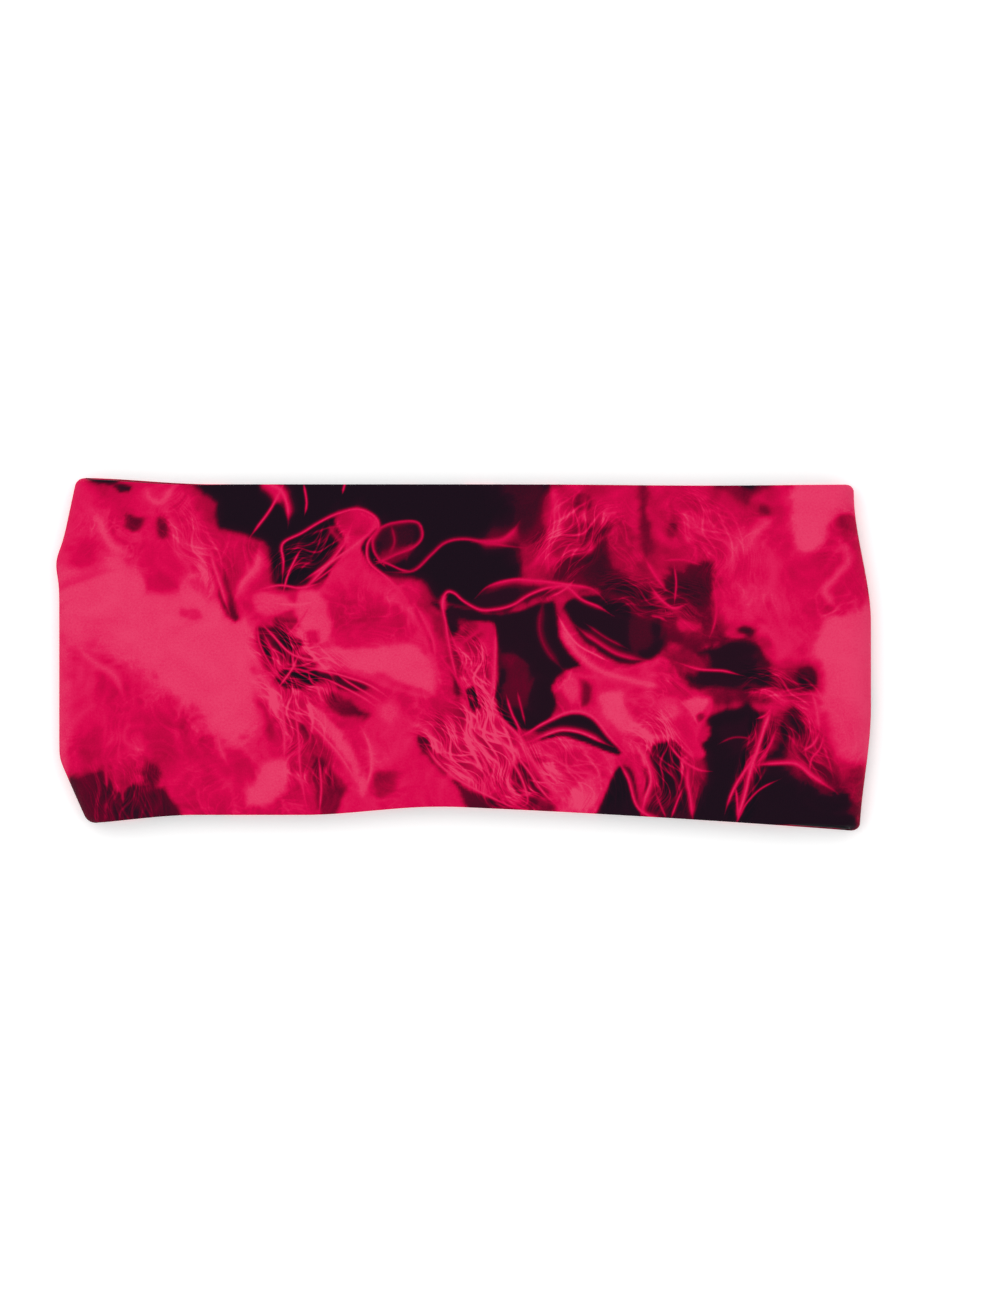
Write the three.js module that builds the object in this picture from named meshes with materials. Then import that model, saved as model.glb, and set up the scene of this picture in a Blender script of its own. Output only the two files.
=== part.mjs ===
// A double-layer stretch headband lying flat with its printed face up and its loop a little open.
//
// Frame: +X runs along the band as it lies, +Y across it towards its top edge and +Z up from the
// surface that it lies on. The origin is under the middle of the band, on that surface. Millimetres.
//
// The wall of the loop is two knit panels that are sewn edge to edge and turned right side out, so
// that each panel's long edges are folded in between the two. Depth is measured through the wall,
// from the outer face inwards: outer panel, its turned-in edge, the lining's turned-in edge, the
// elastic tape sewn along them, lining. The panels' short ends meet at the centre back, which is
// the middle of the underside.

import * as THREE from 'three';

// Driving dimensions.
const LAY_FLAT_LENGTH = 228.6; // from end fold to end fold
const BAND_WIDTH = 98; // from top edge to bottom edge, beside the end folds
const LOOP_OPENING = 5; // clear height inside the loop
const KNIT_THICKNESS = 0.45;
const TURN_IN = 6; // depth of a panel's folded-in long edge
const LINING_INSET = 0.4; // how far the lining's edge sits inside the outer panel's
const TAPE_WIDTH = 5;
const TAPE_THICKNESS = 0.2;
const THREAD_THICKNESS = 0.4;
const SEAM_WIDTH = 3; // reach of the zigzag across the centre back
const STITCH_PITCH = 4; // one full zigzag
const STITCH_STROKE = 0.7; // width of one stroke of thread
const TURNING_GAP = 50; // stretch of the bottom edge that is closed last
const LABEL_WIDTH = 14;
const LABEL_LENGTH = 24;
const LABEL_THICKNESS = 0.3;
const LABEL_TACK = 1.2; // width of the stitching that holds the label
const CLEARANCE = 0.3; // between neighbouring pieces

// How the relaxed band draws in: its edges are shorter than its middle, and its waist is narrower.
const CORNER_HEIGHT = 21; // where an end fold starts to slant in, measured from the edge
const CORNER_DRAW_IN = { leftTop: 5.3, leftBottom: 8.0, rightTop: 4.8, rightBottom: 3.1 };
const WAIST_DIP = 1.2; // how far the top edge comes down in the middle
const WAIST_RISE = 6; // how far the bottom edge comes up in the middle

// Fineness of the facets.
const STOPS_ON_A_HALF = 6; // from the centre back, or the centre front, to an end fold
const STOPS_ON_A_BEND = 8; // round an end fold
const ROWS_ON_A_FOLD = 4; // round a panel's folded edge

// Depths of the layers through the wall, from the outer face inwards.
const outerTurnInDepth = KNIT_THICKNESS + CLEARANCE;
const liningTurnInDepth = outerTurnInDepth + KNIT_THICKNESS + CLEARANCE;
const tapeDepth = liningTurnInDepth + KNIT_THICKNESS + CLEARANCE;
const liningDepth = tapeDepth + TAPE_THICKNESS + CLEARANCE;
const wallThickness = liningDepth + KNIT_THICKNESS;

const loopHeight = 2 * wallThickness + LOOP_OPENING;
const halfLength = LAY_FLAT_LENGTH / 2;
const halfWidth = BAND_WIDTH / 2;

// The overlocking runs along the raw edges of both turned-in edges.
const rawEdgeAcross = halfWidth - TURN_IN;
const overlockAcross = rawEdgeAcross - CLEARANCE - THREAD_THICKNESS / 2;
const overlockDepth = outerTurnInDepth;
const overlockReach = liningTurnInDepth + KNIT_THICKNESS - outerTurnInDepth;

// A stop on the way round the loop: a point of the outer face, and the direction inwards there.
function stop(x, z, inX, inZ) {
  return { x, z, inX, inZ };
}

// Stops along a flat stretch of the loop, on the underside or the upper side.
function straightStops(fromX, toX, onTop, count) {
  const z = onTop ? loopHeight : 0;
  const inward = onTop ? -1 : 1;
  const stops = [];
  for (let i = 0; i <= count; i += 1) {
    stops.push(stop(THREE.MathUtils.lerp(fromX, toX, i / count), z, 0, inward));
  }
  return stops;
}

// Stops round an end fold, without its first and last, which belong to the flat stretches.
function bendStops(side) {
  const radius = loopHeight / 2;
  const centreX = side * (halfLength - radius);
  const stops = [];
  for (let i = 1; i < STOPS_ON_A_BEND; i += 1) {
    const turn = (Math.PI * i) / STOPS_ON_A_BEND;
    const outX = side * Math.sin(turn);
    const outZ = -side * Math.cos(turn);
    stops.push(stop(centreX + radius * outX, radius + radius * outZ, -outX, -outZ));
  }
  return stops;
}

// Stops all the way round, from one side of the centre back to the other.
function loopStops(fromCentreBack) {
  const flatEnd = halfLength - loopHeight / 2;
  return [
    ...straightStops(fromCentreBack, flatEnd, false, STOPS_ON_A_HALF),
    ...bendStops(1),
    ...straightStops(flatEnd, -flatEnd, true, 2 * STOPS_ON_A_HALF),
    ...bendStops(-1),
    ...straightStops(-flatEnd, -fromCentreBack, false, STOPS_ON_A_HALF),
  ];
}

// A row of a strip, seen in the wall's cross-section: its depth and its place across the band, and
// the direction of the strip's own thickness there.
function row(depth, across, thickDepth, thickAcross) {
  return { depth, across, thickDepth, thickAcross };
}

// Rows round a folded edge, from the turned-in side to the face side.
function foldRows(centreDepth, edgeAcross, radius, side, faceSign) {
  const rows = [];
  for (let i = 0; i <= ROWS_ON_A_FOLD; i += 1) {
    const turn = (Math.PI * i) / ROWS_ON_A_FOLD;
    const outDepth = -faceSign * Math.cos(turn);
    const outAcross = side * Math.sin(turn);
    const across = edgeAcross * side - side * (radius + KNIT_THICKNESS / 2) + radius * outAcross;
    rows.push(row(centreDepth + radius * outDepth, across, outDepth, outAcross));
  }
  return rows;
}

// Rows across a panel with both long edges turned in. Face and turn-in are depths of their middles.
function panelRows(faceMiddle, turnInMiddle, edgeAcross) {
  const faceSign = Math.sign(faceMiddle - turnInMiddle);
  const centre = (faceMiddle + turnInMiddle) / 2;
  const radius = Math.abs(faceMiddle - turnInMiddle) / 2;
  const cornerStart = halfWidth - CORNER_HEIGHT;
  const turnedRow = (side) => row(turnInMiddle, side * rawEdgeAcross, -faceSign, 0);
  const faceRow = (across) => row(faceMiddle, across, faceSign, 0);
  const bottomFold = foldRows(centre, edgeAcross, radius, -1, faceSign);
  const topFold = foldRows(centre, edgeAcross, radius, 1, faceSign);
  return [
    turnedRow(-1),
    ...bottomFold,
    faceRow(-cornerStart),
    faceRow(0),
    faceRow(cornerStart),
    ...topFold.reverse(),
    turnedRow(1),
  ];
}

// A strip starts as a flat slab on a grid of rows and stops, and is then folded across its width
// and led round the loop.
function stripGeometry(rows, stops, thickness) {
  const rowSteps = rows.length - 1;
  const stopSteps = stops.length - 1;
  const slab = new THREE.BoxGeometry(1, 1, 1, 1, rowSteps, stopSteps);
  const points = slab.attributes.position;
  for (let i = 0; i < points.count; i += 1) {
    const section = rows[Math.round((points.getY(i) + 0.5) * rowSteps)];
    const place = stops[Math.round((0.5 + points.getZ(i)) * stopSteps)];
    const offset = points.getX(i) * thickness;
    const depth = section.depth + offset * section.thickDepth;
    const across = section.across + offset * section.thickAcross;
    points.setXYZ(i, place.x + depth * place.inX, across, place.z + depth * place.inZ);
  }
  return slab;
}

// Turns a geometry's faces the other way round, for strips that the folding turned inside out.
function pointFacesOut(geometry) {
  const flat = geometry.index ? geometry.toNonIndexed() : geometry;
  const points = flat.attributes.position;
  const a = new THREE.Vector3();
  const b = new THREE.Vector3();
  const c = new THREE.Vector3();
  let volume = 0;
  for (let i = 0; i < points.count; i += 3) {
    a.fromBufferAttribute(points, i);
    b.fromBufferAttribute(points, i + 1);
    c.fromBufferAttribute(points, i + 2);
    volume += a.dot(b.cross(c)) / 6;
  }
  if (volume < 0) {
    for (let i = 0; i < points.count; i += 3) {
      a.fromBufferAttribute(points, i + 1);
      b.fromBufferAttribute(points, i + 2);
      points.setXYZ(i + 1, b.x, b.y, b.z);
      points.setXYZ(i + 2, a.x, a.y, a.z);
    }
  }
  return flat;
}

// Moves a point of the evenly wide band to where the relaxed band draws it in.
function drawIn(point) {
  const along = point.x / halfLength;
  const across = point.y / halfWidth;
  const waist = 1 - along * along;
  const fromCorner = Math.abs(point.y) - (halfWidth - CORNER_HEIGHT);
  const slant = Math.max(0, fromCorner) / CORNER_HEIGHT;
  const side = point.x < 0 ? 'left' : 'right';
  const edge = point.y < 0 ? 'Bottom' : 'Top';
  point.x -= along * slant * CORNER_DRAW_IN[side + edge];
  point.y -= across * waist * (point.y < 0 ? WAIST_RISE : WAIST_DIP);
  return point;
}

// Finishes are kept as plain values, one for each kind of piece.
const FINISHES = {
  printedKnit: { color: 0xb8063f, roughness: 0.85, metalness: 0 },
  liningKnit: { color: 0x1c161e, roughness: 0.9, metalness: 0 },
  clearTape: { color: 0xd9dadb, roughness: 0.35, metalness: 0 },
  darkThread: { color: 0x17131a, roughness: 0.7, metalness: 0 },
  labelSatin: { color: 0xe9e7e2, roughness: 0.5, metalness: 0 },
};

// A named piece of the band, in its own material and drawn in with the rest.
function piece(name, geometry, finish) {
  const solid = pointFacesOut(geometry);
  const points = solid.attributes.position;
  const point = new THREE.Vector3();
  for (let i = 0; i < points.count; i += 1) {
    drawIn(point.fromBufferAttribute(points, i));
    points.setXYZ(i, point.x, point.y, point.z);
  }
  solid.computeVertexNormals();
  const mesh = new THREE.Mesh(solid, new THREE.MeshStandardMaterial(finish));
  mesh.name = name;
  return mesh;
}

// The printed knit that faces out all the way round.
function outerPanel() {
  const face = KNIT_THICKNESS / 2;
  const turnIn = outerTurnInDepth + KNIT_THICKNESS / 2;
  const rows = panelRows(face, turnIn, halfWidth);
  const geometry = stripGeometry(rows, loopStops(CLEARANCE / 2), KNIT_THICKNESS);
  return piece('outer_panel', geometry, FINISHES.printedKnit);
}

// The plain knit that lies against the head.
function liningPanel() {
  const face = liningDepth + KNIT_THICKNESS / 2;
  const turnIn = liningTurnInDepth + KNIT_THICKNESS / 2;
  const rows = panelRows(face, turnIn, halfWidth - LINING_INSET);
  const geometry = stripGeometry(rows, loopStops(CLEARANCE / 2), KNIT_THICKNESS);
  return piece('inner_panel', geometry, FINISHES.liningKnit);
}

// Clear elastic tape along one edge, between the lining and its turned-in edge.
function edgeTape(name, side) {
  const foldDepth = (liningDepth - liningTurnInDepth) / 2 + KNIT_THICKNESS;
  const outerAcross = halfWidth - LINING_INSET - foldDepth - CLEARANCE;
  const middle = tapeDepth + TAPE_THICKNESS / 2;
  const rows = [
    row(middle, side * outerAcross, 1, 0),
    row(middle, side * (outerAcross - TAPE_WIDTH), 1, 0),
  ];
  const geometry = stripGeometry(rows, loopStops(CLEARANCE / 2), TAPE_THICKNESS);
  return piece(name, geometry, FINISHES.clearTape);
}

// A line of overlock thread that binds the raw edges of both panels, standing across the wall.
function overlockGeometry(side, stops) {
  const across = side * overlockAcross;
  const rows = [row(overlockDepth, across, 0, 1), row(overlockDepth + overlockReach, across, 0, 1)];
  return stripGeometry(rows, stops, THREAD_THICKNESS);
}

function topEdgeSeam() {
  const geometry = overlockGeometry(1, loopStops(CLEARANCE / 2));
  return piece('top_edge_seam', geometry, FINISHES.darkThread);
}

// The bottom seam leaves the turning gap open, and a separate line of stitches closes it.
function bottomEdgeSeam() {
  const geometry = overlockGeometry(-1, loopStops(TURNING_GAP / 2 + CLEARANCE));
  return piece('bottom_edge_seam', geometry, FINISHES.darkThread);
}

function turningGapStitch() {
  const stops = straightStops(-TURNING_GAP / 2, TURNING_GAP / 2, false, 4);
  return piece('turning_gap_stitch', overlockGeometry(-1, stops), FINISHES.darkThread);
}

// A flat zigzag of thread along Y, centred on the origin, with strokes of one width.
function zigzagGeometry(length, reach, thickness) {
  const strokes = Math.max(2, Math.round((2 * length) / STITCH_PITCH));
  const step = (length - STITCH_STROKE) / strokes;
  const swing = (reach - STITCH_STROKE) / 2;
  const leftSide = [];
  const rightSide = [];
  for (let i = 0; i <= strokes; i += 1) {
    const x = i % 2 === 0 ? -swing : swing;
    const y = -length / 2 + STITCH_STROKE / 2 + i * step;
    leftSide.push(new THREE.Vector2(x - STITCH_STROKE / 2, y));
    rightSide.push(new THREE.Vector2(x + STITCH_STROKE / 2, y));
  }
  const outline = new THREE.Shape([...rightSide, ...leftSide.reverse()]);
  return new THREE.ExtrudeGeometry(outline, { depth: thickness, bevelEnabled: false });
}

// The seam that joins a panel's two ends at the centre back, between the overlocked edges.
function backSeam(name, bottomDepth) {
  const length = 2 * (overlockAcross - THREAD_THICKNESS / 2 - CLEARANCE);
  const geometry = zigzagGeometry(length, SEAM_WIDTH, THREAD_THICKNESS);
  geometry.translate(0, 0, bottomDepth);
  return piece(name, geometry, FINISHES.darkThread);
}

function outerBackSeam() {
  return backSeam('outer_back_seam', KNIT_THICKNESS + CLEARANCE);
}

function liningBackSeam() {
  return backSeam('inner_back_seam', liningDepth - CLEARANCE - THREAD_THICKNESS);
}

// A blank label inside the loop, sewn down beside the centre back seam.
const labelStart = SEAM_WIDTH / 2;
const labelUnderside = wallThickness + CLEARANCE;

function careLabel() {
  const label = new THREE.BoxGeometry(LABEL_LENGTH, LABEL_WIDTH, LABEL_THICKNESS, 4, 1, 1);
  const startX = labelStart + LABEL_TACK + CLEARANCE;
  label.translate(startX + LABEL_LENGTH / 2, 0, labelUnderside + LABEL_THICKNESS / 2);
  return piece('care_label', label, FINISHES.labelSatin);
}

function careLabelStitch() {
  const tack = zigzagGeometry(LABEL_WIDTH, LABEL_TACK, LABEL_THICKNESS);
  tack.translate(labelStart + LABEL_TACK / 2, 0, labelUnderside);
  return piece('care_label_stitch', tack, FINISHES.darkThread);
}

const group = new THREE.Group();
group.add(
  outerPanel(),
  liningPanel(),
  edgeTape('top_edge_elastic', 1),
  edgeTape('bottom_edge_elastic', -1),
  topEdgeSeam(),
  bottomEdgeSeam(),
  turningGapStitch(),
  outerBackSeam(),
  liningBackSeam(),
  careLabel(),
  careLabelStitch(),
);

// The drawn-in outline isn't quite even, so the origin is set under the middle of its box.
const box = new THREE.Box3().setFromObject(group);
const centre = box.getCenter(new THREE.Vector3());
group.position.set(-centre.x, -centre.y, -box.min.z);

export default group;
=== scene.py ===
"""A double-layer stretch headband with a smoke print, laid flat with its loop a little open.

The printed panel and the lining are closed cloth shells led round the loop, with their long edges
turned in between them. The print is worked out on the printed panel's own vertices, from soft
patches, wisps and seeded noise. Lengths in this file are millimetres, and meshes are made in metres.
"""

from __future__ import annotations

import logging
import math
from collections.abc import Callable
from dataclasses import dataclass, field
from enum import Enum

import bpy
import numpy as np
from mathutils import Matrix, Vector


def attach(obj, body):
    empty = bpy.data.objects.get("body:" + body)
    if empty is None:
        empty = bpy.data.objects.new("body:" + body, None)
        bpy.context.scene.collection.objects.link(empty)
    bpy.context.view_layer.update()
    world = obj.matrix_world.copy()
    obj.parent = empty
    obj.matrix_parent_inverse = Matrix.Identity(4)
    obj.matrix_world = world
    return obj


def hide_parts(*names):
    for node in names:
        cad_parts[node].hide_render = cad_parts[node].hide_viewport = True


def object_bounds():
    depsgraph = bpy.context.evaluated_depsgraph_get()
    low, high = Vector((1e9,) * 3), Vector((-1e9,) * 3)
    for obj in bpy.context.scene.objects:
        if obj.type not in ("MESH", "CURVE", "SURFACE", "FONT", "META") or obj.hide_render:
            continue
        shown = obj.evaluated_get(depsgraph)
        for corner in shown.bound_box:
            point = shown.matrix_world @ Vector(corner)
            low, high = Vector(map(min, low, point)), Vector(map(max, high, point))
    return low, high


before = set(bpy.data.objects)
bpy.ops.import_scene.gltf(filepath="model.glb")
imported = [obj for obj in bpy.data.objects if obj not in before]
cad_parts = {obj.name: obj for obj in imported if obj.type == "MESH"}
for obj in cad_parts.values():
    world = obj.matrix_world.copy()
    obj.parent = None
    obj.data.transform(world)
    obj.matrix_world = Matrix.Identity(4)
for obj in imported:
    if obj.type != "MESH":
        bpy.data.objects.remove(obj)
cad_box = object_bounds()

MM = 0.001
Array = np.ndarray
Piece = bpy.types.Object
Socket = bpy.types.NodeSocket
LOG = logging.getLogger("headband")
ROOT = "root"

Points = tuple[float, ...]  # x and y in turn


# --- Curves and noise ---


def smoothstep(low: float, high: float, value: Array) -> Array:
    """Eases from 0 at low to 1 at high."""
    share = np.clip((value - low) / (high - low), 0.0, 1.0)
    return share * share * (3.0 - 2.0 * share)


def rounded(points: Points, closed: bool, steps: int) -> Array:
    """Draws a smooth curve through given points.

    Args:
        points: The points that the curve passes through.
        closed: Whether the last point joins the first.
        steps: Straight steps between two points.

    Returns:
        The curve as a fine polyline, one point a row.
    """
    knots = np.array(points, float).reshape(-1, 2)
    count = len(knots)
    spans = count if closed else count - 1
    at = np.linspace(0.0, 1.0, steps, endpoint=False)[:, None]
    parts = []
    for i in range(spans):
        near = [i - 1, i, i + 1, i + 2]
        chosen = [k % count if closed else min(max(k, 0), count - 1) for k in near]
        a, b, c, d = knots[chosen]
        bend = (2 * a - 5 * b + 4 * c - d) * at**2 + (3 * b - a - 3 * c + d) * at**3
        parts.append(0.5 * (2 * b + (c - a) * at + bend))
    if not closed:
        parts.append(knots[-1:])
    return np.vstack(parts)


class GradientNoise:
    """Seeded smooth noise over the plane, from about -1 to 1."""

    def __init__(self, seed: int) -> None:
        """Draws the gradients from the seed."""
        rng = np.random.default_rng(seed)
        self.table = rng.permutation(256)
        turn = rng.uniform(0, 2 * np.pi, 256)
        self.gradient = np.cos(turn), np.sin(turn)

    def __call__(self, x: Array, y: Array) -> Array:
        """Returns the noise at each point, with features one unit across."""
        cell_x, cell_y = np.floor(x).astype(int), np.floor(y).astype(int)
        in_x, in_y = x - cell_x, y - cell_y

        def corner(step_x: int, step_y: int) -> Array:
            """Returns what one corner of each cell adds."""
            inner = self.table[(cell_x + step_x) & 255]
            pick = self.table[(inner + cell_y + step_y) & 255]
            gx, gy = self.gradient[0][pick], self.gradient[1][pick]
            return gx * (in_x - step_x) + gy * (in_y - step_y)

        ease_x = in_x**3 * (in_x * (in_x * 6 - 15) + 10)
        ease_y = in_y**3 * (in_y * (in_y * 6 - 15) + 10)
        low = corner(0, 0) * (1 - ease_x) + corner(1, 0) * ease_x
        high = corner(0, 1) * (1 - ease_x) + corner(1, 1) * ease_x
        return 1.4 * (low * (1 - ease_y) + high * ease_y)

    def layered(self, x: Array, y: Array, scale: float, octaves: int) -> Array:
        """Adds octaves of noise, each half as coarse and half as strong as the one before."""
        total, gain = np.zeros_like(x), 1.0
        for k in range(octaves):
            total += gain * self(x / scale + 17.3 * k, y / scale - 9.1 * k)
            gain *= 0.5
            scale *= 0.5
        return total

    def ridged(self, x: Array, y: Array, scale: float, octaves: int) -> Array:
        """Adds octaves of thin bright ridges, from 0 to 1."""
        total, gain, most = np.zeros_like(x), 1.0, 0.0
        for k in range(octaves):
            total += gain * (1 - np.abs(self(x / scale + 31.7 * k, y / scale + 5.3 * k))) ** 4
            most += gain
            gain *= 0.55
            scale *= 0.55
        return total / most


# --- The smoke print ---


def near_points(x: Array, y: Array, shape: Array, margin: float) -> Array:
    """Marks the points that lie inside a shape's box widened by a margin."""
    low, high = shape.min(0) - margin, shape.max(0) + margin
    return (x > low[0]) & (x < high[0]) & (y > low[1]) & (y < high[1])


def segment_distance(
    x: Array, y: Array, start: Array, end: Array
) -> tuple[Array, Array, Array]:
    """Measures from points to one straight segment.

    Args:
        x: The points' places along the band.
        y: The points' places across the band.
        start: The segment's first end.
        end: The segment's last end.

    Returns:
        The squared distance, the share along the segment of the nearest point, and the side.
    """
    run = end - start
    from_x, from_y = x - start[0], y - start[1]
    share = np.clip((from_x * run[0] + from_y * run[1]) / max(run @ run, 1e-9), 0, 1)
    off_x, off_y = from_x - share * run[0], from_y - share * run[1]
    return off_x**2 + off_y**2, share, np.sign(run[0] * off_y - run[1] * off_x)


def line_distance(
    x: Array, y: Array, line: Array
) -> tuple[Array, Array, Array, float]:
    """Measures from points to a polyline.

    Args:
        x: The points' places along the band.
        y: The points' places across the band.
        line: The polyline's points.

    Returns:
        The distance, the side, the length along the line to the nearest place, and the whole length.
    """
    steps = np.hypot(*np.diff(line, axis=0).T)
    start = np.concatenate([[0], np.cumsum(steps)])
    best = np.full(x.shape, np.inf)
    side, at = np.zeros(x.shape), np.zeros(x.shape)
    for i in range(len(line) - 1):
        squared, share, turned = segment_distance(x, y, line[i], line[i + 1])
        closer = squared < best
        best = np.where(closer, squared, best)
        side = np.where(closer, turned, side)
        at = np.where(closer, start[i] + share * steps[i], at)
    return np.sqrt(best), side, at, start[-1]


@dataclass(frozen=True)
class Patch:
    """A soft-edged area of one tone.

    Attributes:
        outline: Points that its edge passes through.
        tone: The tone inside.
        soft: Half the width over which the edge fades.
        opacity: How far it covers what lies under it.
        rim: Extra tone just inside the edge, where a sheet of smoke is seen edge-on.
        rim_width: How far the rim reaches in.
        ragged: How far the noise pulls the edge about.
    """

    outline: Points
    tone: float
    soft: float = 1.5
    opacity: float = 1.0
    rim: float = 0.0
    rim_width: float = 1.5
    ragged: float = 0.8

    def depth(self, x: Array, y: Array) -> Array:
        """Returns each point's distance inside the outline, negative outside."""
        edge = rounded(self.outline, True, 4)
        best = np.full(x.shape, np.inf)
        inside = np.zeros(x.shape, bool)
        for start, end in zip(edge, np.roll(edge, -1, 0)):
            squared, _, _ = segment_distance(x, y, start, end)
            best = np.minimum(best, squared)
            crosses = (start[1] > y) != (end[1] > y)
            rise = end[1] - start[1] or 1e-9
            cut = (end[0] - start[0]) * (y - start[1]) / rise + start[0]
            inside ^= crosses & (x < cut)
        return np.where(inside, 1, -1) * np.sqrt(best)

    def lay(self, tone: Array, x: Array, y: Array, fray: Array) -> None:
        """Lays the patch over the tones so far.

        Args:
            tone: Tones at the points, changed in place.
            x: The points' places along the band.
            y: The points' places across the band.
            fray: Noise that pulls the edge about and varies its softness.
        """
        near = near_points(x, y, np.array(self.outline).reshape(-1, 2), 4.5 * self.soft + 2)
        if not near.any():
            return
        pull = self.ragged * fray[near]
        depth = self.depth(x[near], y[near]) + 1.3 * self.soft * pull
        soft = self.soft * (1.0 + 0.5 * np.clip(pull, -1, 1))
        cover = 0.7 * smoothstep(-0.9, 0.9, depth / soft)
        cover += 0.3 * smoothstep(-3.2, 2.4, depth / soft)
        cover *= self.opacity
        aim = self.tone + self.rim * np.exp(-np.maximum(depth, 0) / self.rim_width)
        tone[near] += cover * (aim - tone[near])


@dataclass(frozen=True)
class Wisp:
    """A thread of smoke.

    Attributes:
        path: Points that it passes through.
        tone: Its tone along the middle.
        width: Half its width.
        skew: How much softer its left side is than its right, or its right if negative.
        opacity: How far it covers what lies under it.
        taper: Share of its length over which each end thins out.
    """

    path: Points
    tone: float
    width: float = 1.0
    skew: float = 0.0
    opacity: float = 1.0
    taper: float = 0.25

    def measure(
        self, x: Array, y: Array
    ) -> tuple[Array, Array, Array]:
        """Returns each point's distance from the wisp, its side, and the fading towards the ends."""
        distance, side, at, length = line_distance(x, y, rounded(self.path, False, 6))
        share = at / length
        ends = smoothstep(0, self.taper, share) * smoothstep(0, self.taper, 1 - share)
        return distance, side, ends

    def lay(self, tone: Array, x: Array, y: Array) -> None:
        """Lays the wisp over the tones so far, in place."""
        reach = self.width * (2.6 + 3 * abs(self.skew))
        near = near_points(x, y, rounded(self.path, False, 6), reach)
        if not near.any():
            return
        distance, side, ends = self.measure(x[near], y[near])
        width = self.width * (0.35 + 0.65 * ends)
        leaning = side * (1 if self.skew >= 0 else -1) > 0
        spread = width * np.where(leaning, 1 + 3 * abs(self.skew), 1.0)
        cover = self.opacity * np.exp(-((distance / spread) ** 1.8)) * (0.25 + 0.75 * ends)
        tone[near] += cover * (self.tone - tone[near])


@dataclass(frozen=True)
class Tangle:
    """A bundle of many thin threads that run the same way, which the material draws.

    Attributes:
        spine: Points that the middle of the bundle passes through.
        reach: Half the bundle's width.
        strength: How far the threads change the tone under them.
        fan: How much wider the bundle is at its last point than at its first.
    """

    spine: Points
    reach: float
    strength: float
    fan: float = 1.0

    def flow(self, x: Array, y: Array) -> Array:
        """Returns, for each point, its place along and across the bundle, and the strength."""
        found = np.zeros((len(x), 3))
        line = rounded(self.spine, False, 6)
        widest = self.reach * max(1.0, self.fan)
        near = near_points(x, y, line, widest)
        if not near.any():
            return found
        distance, side, at, length = line_distance(x[near], y[near], line)
        share = at / length
        reach = self.reach * (1 + (self.fan - 1) * share)
        ends = smoothstep(0, 0.2, share) * smoothstep(0, 0.2, 1 - share)
        body = smoothstep(1.0, 0.4, distance / reach) * (0.1 + 0.9 * ends)
        found[near, 0] = at
        found[near, 1] = side * distance / reach * self.reach
        found[near, 2] = self.strength * body
        return found


def in_layers(shapes: list, reach_of: Callable, gap: float) -> list[list]:
    """Sorts lines into as few layers as keep the lines of one layer apart.

    Args:
        shapes: Wisps or tangles.
        reach_of: Gives the points of a shape's line and how far its effect reaches.
        gap: The least space between the effects of two lines of one layer.

    Returns:
        The layers, each a list of shapes.
    """
    layers: list[list] = []
    for shape in shapes:
        line, reach = reach_of(shape)
        for layer in layers:
            clear = True
            for other in layer:
                far, wide = reach_of(other)
                apart = np.hypot(*(line[:, None] - far[None]).transpose(2, 0, 1)).min()
                clear = clear and apart > reach + wide + gap
            if clear:
                layer.append(shape)
                break
        else:
            layers.append([shape])
    return layers


# The smoke's shapes on the front of the band, given from its centre: x along, y across.

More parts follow.
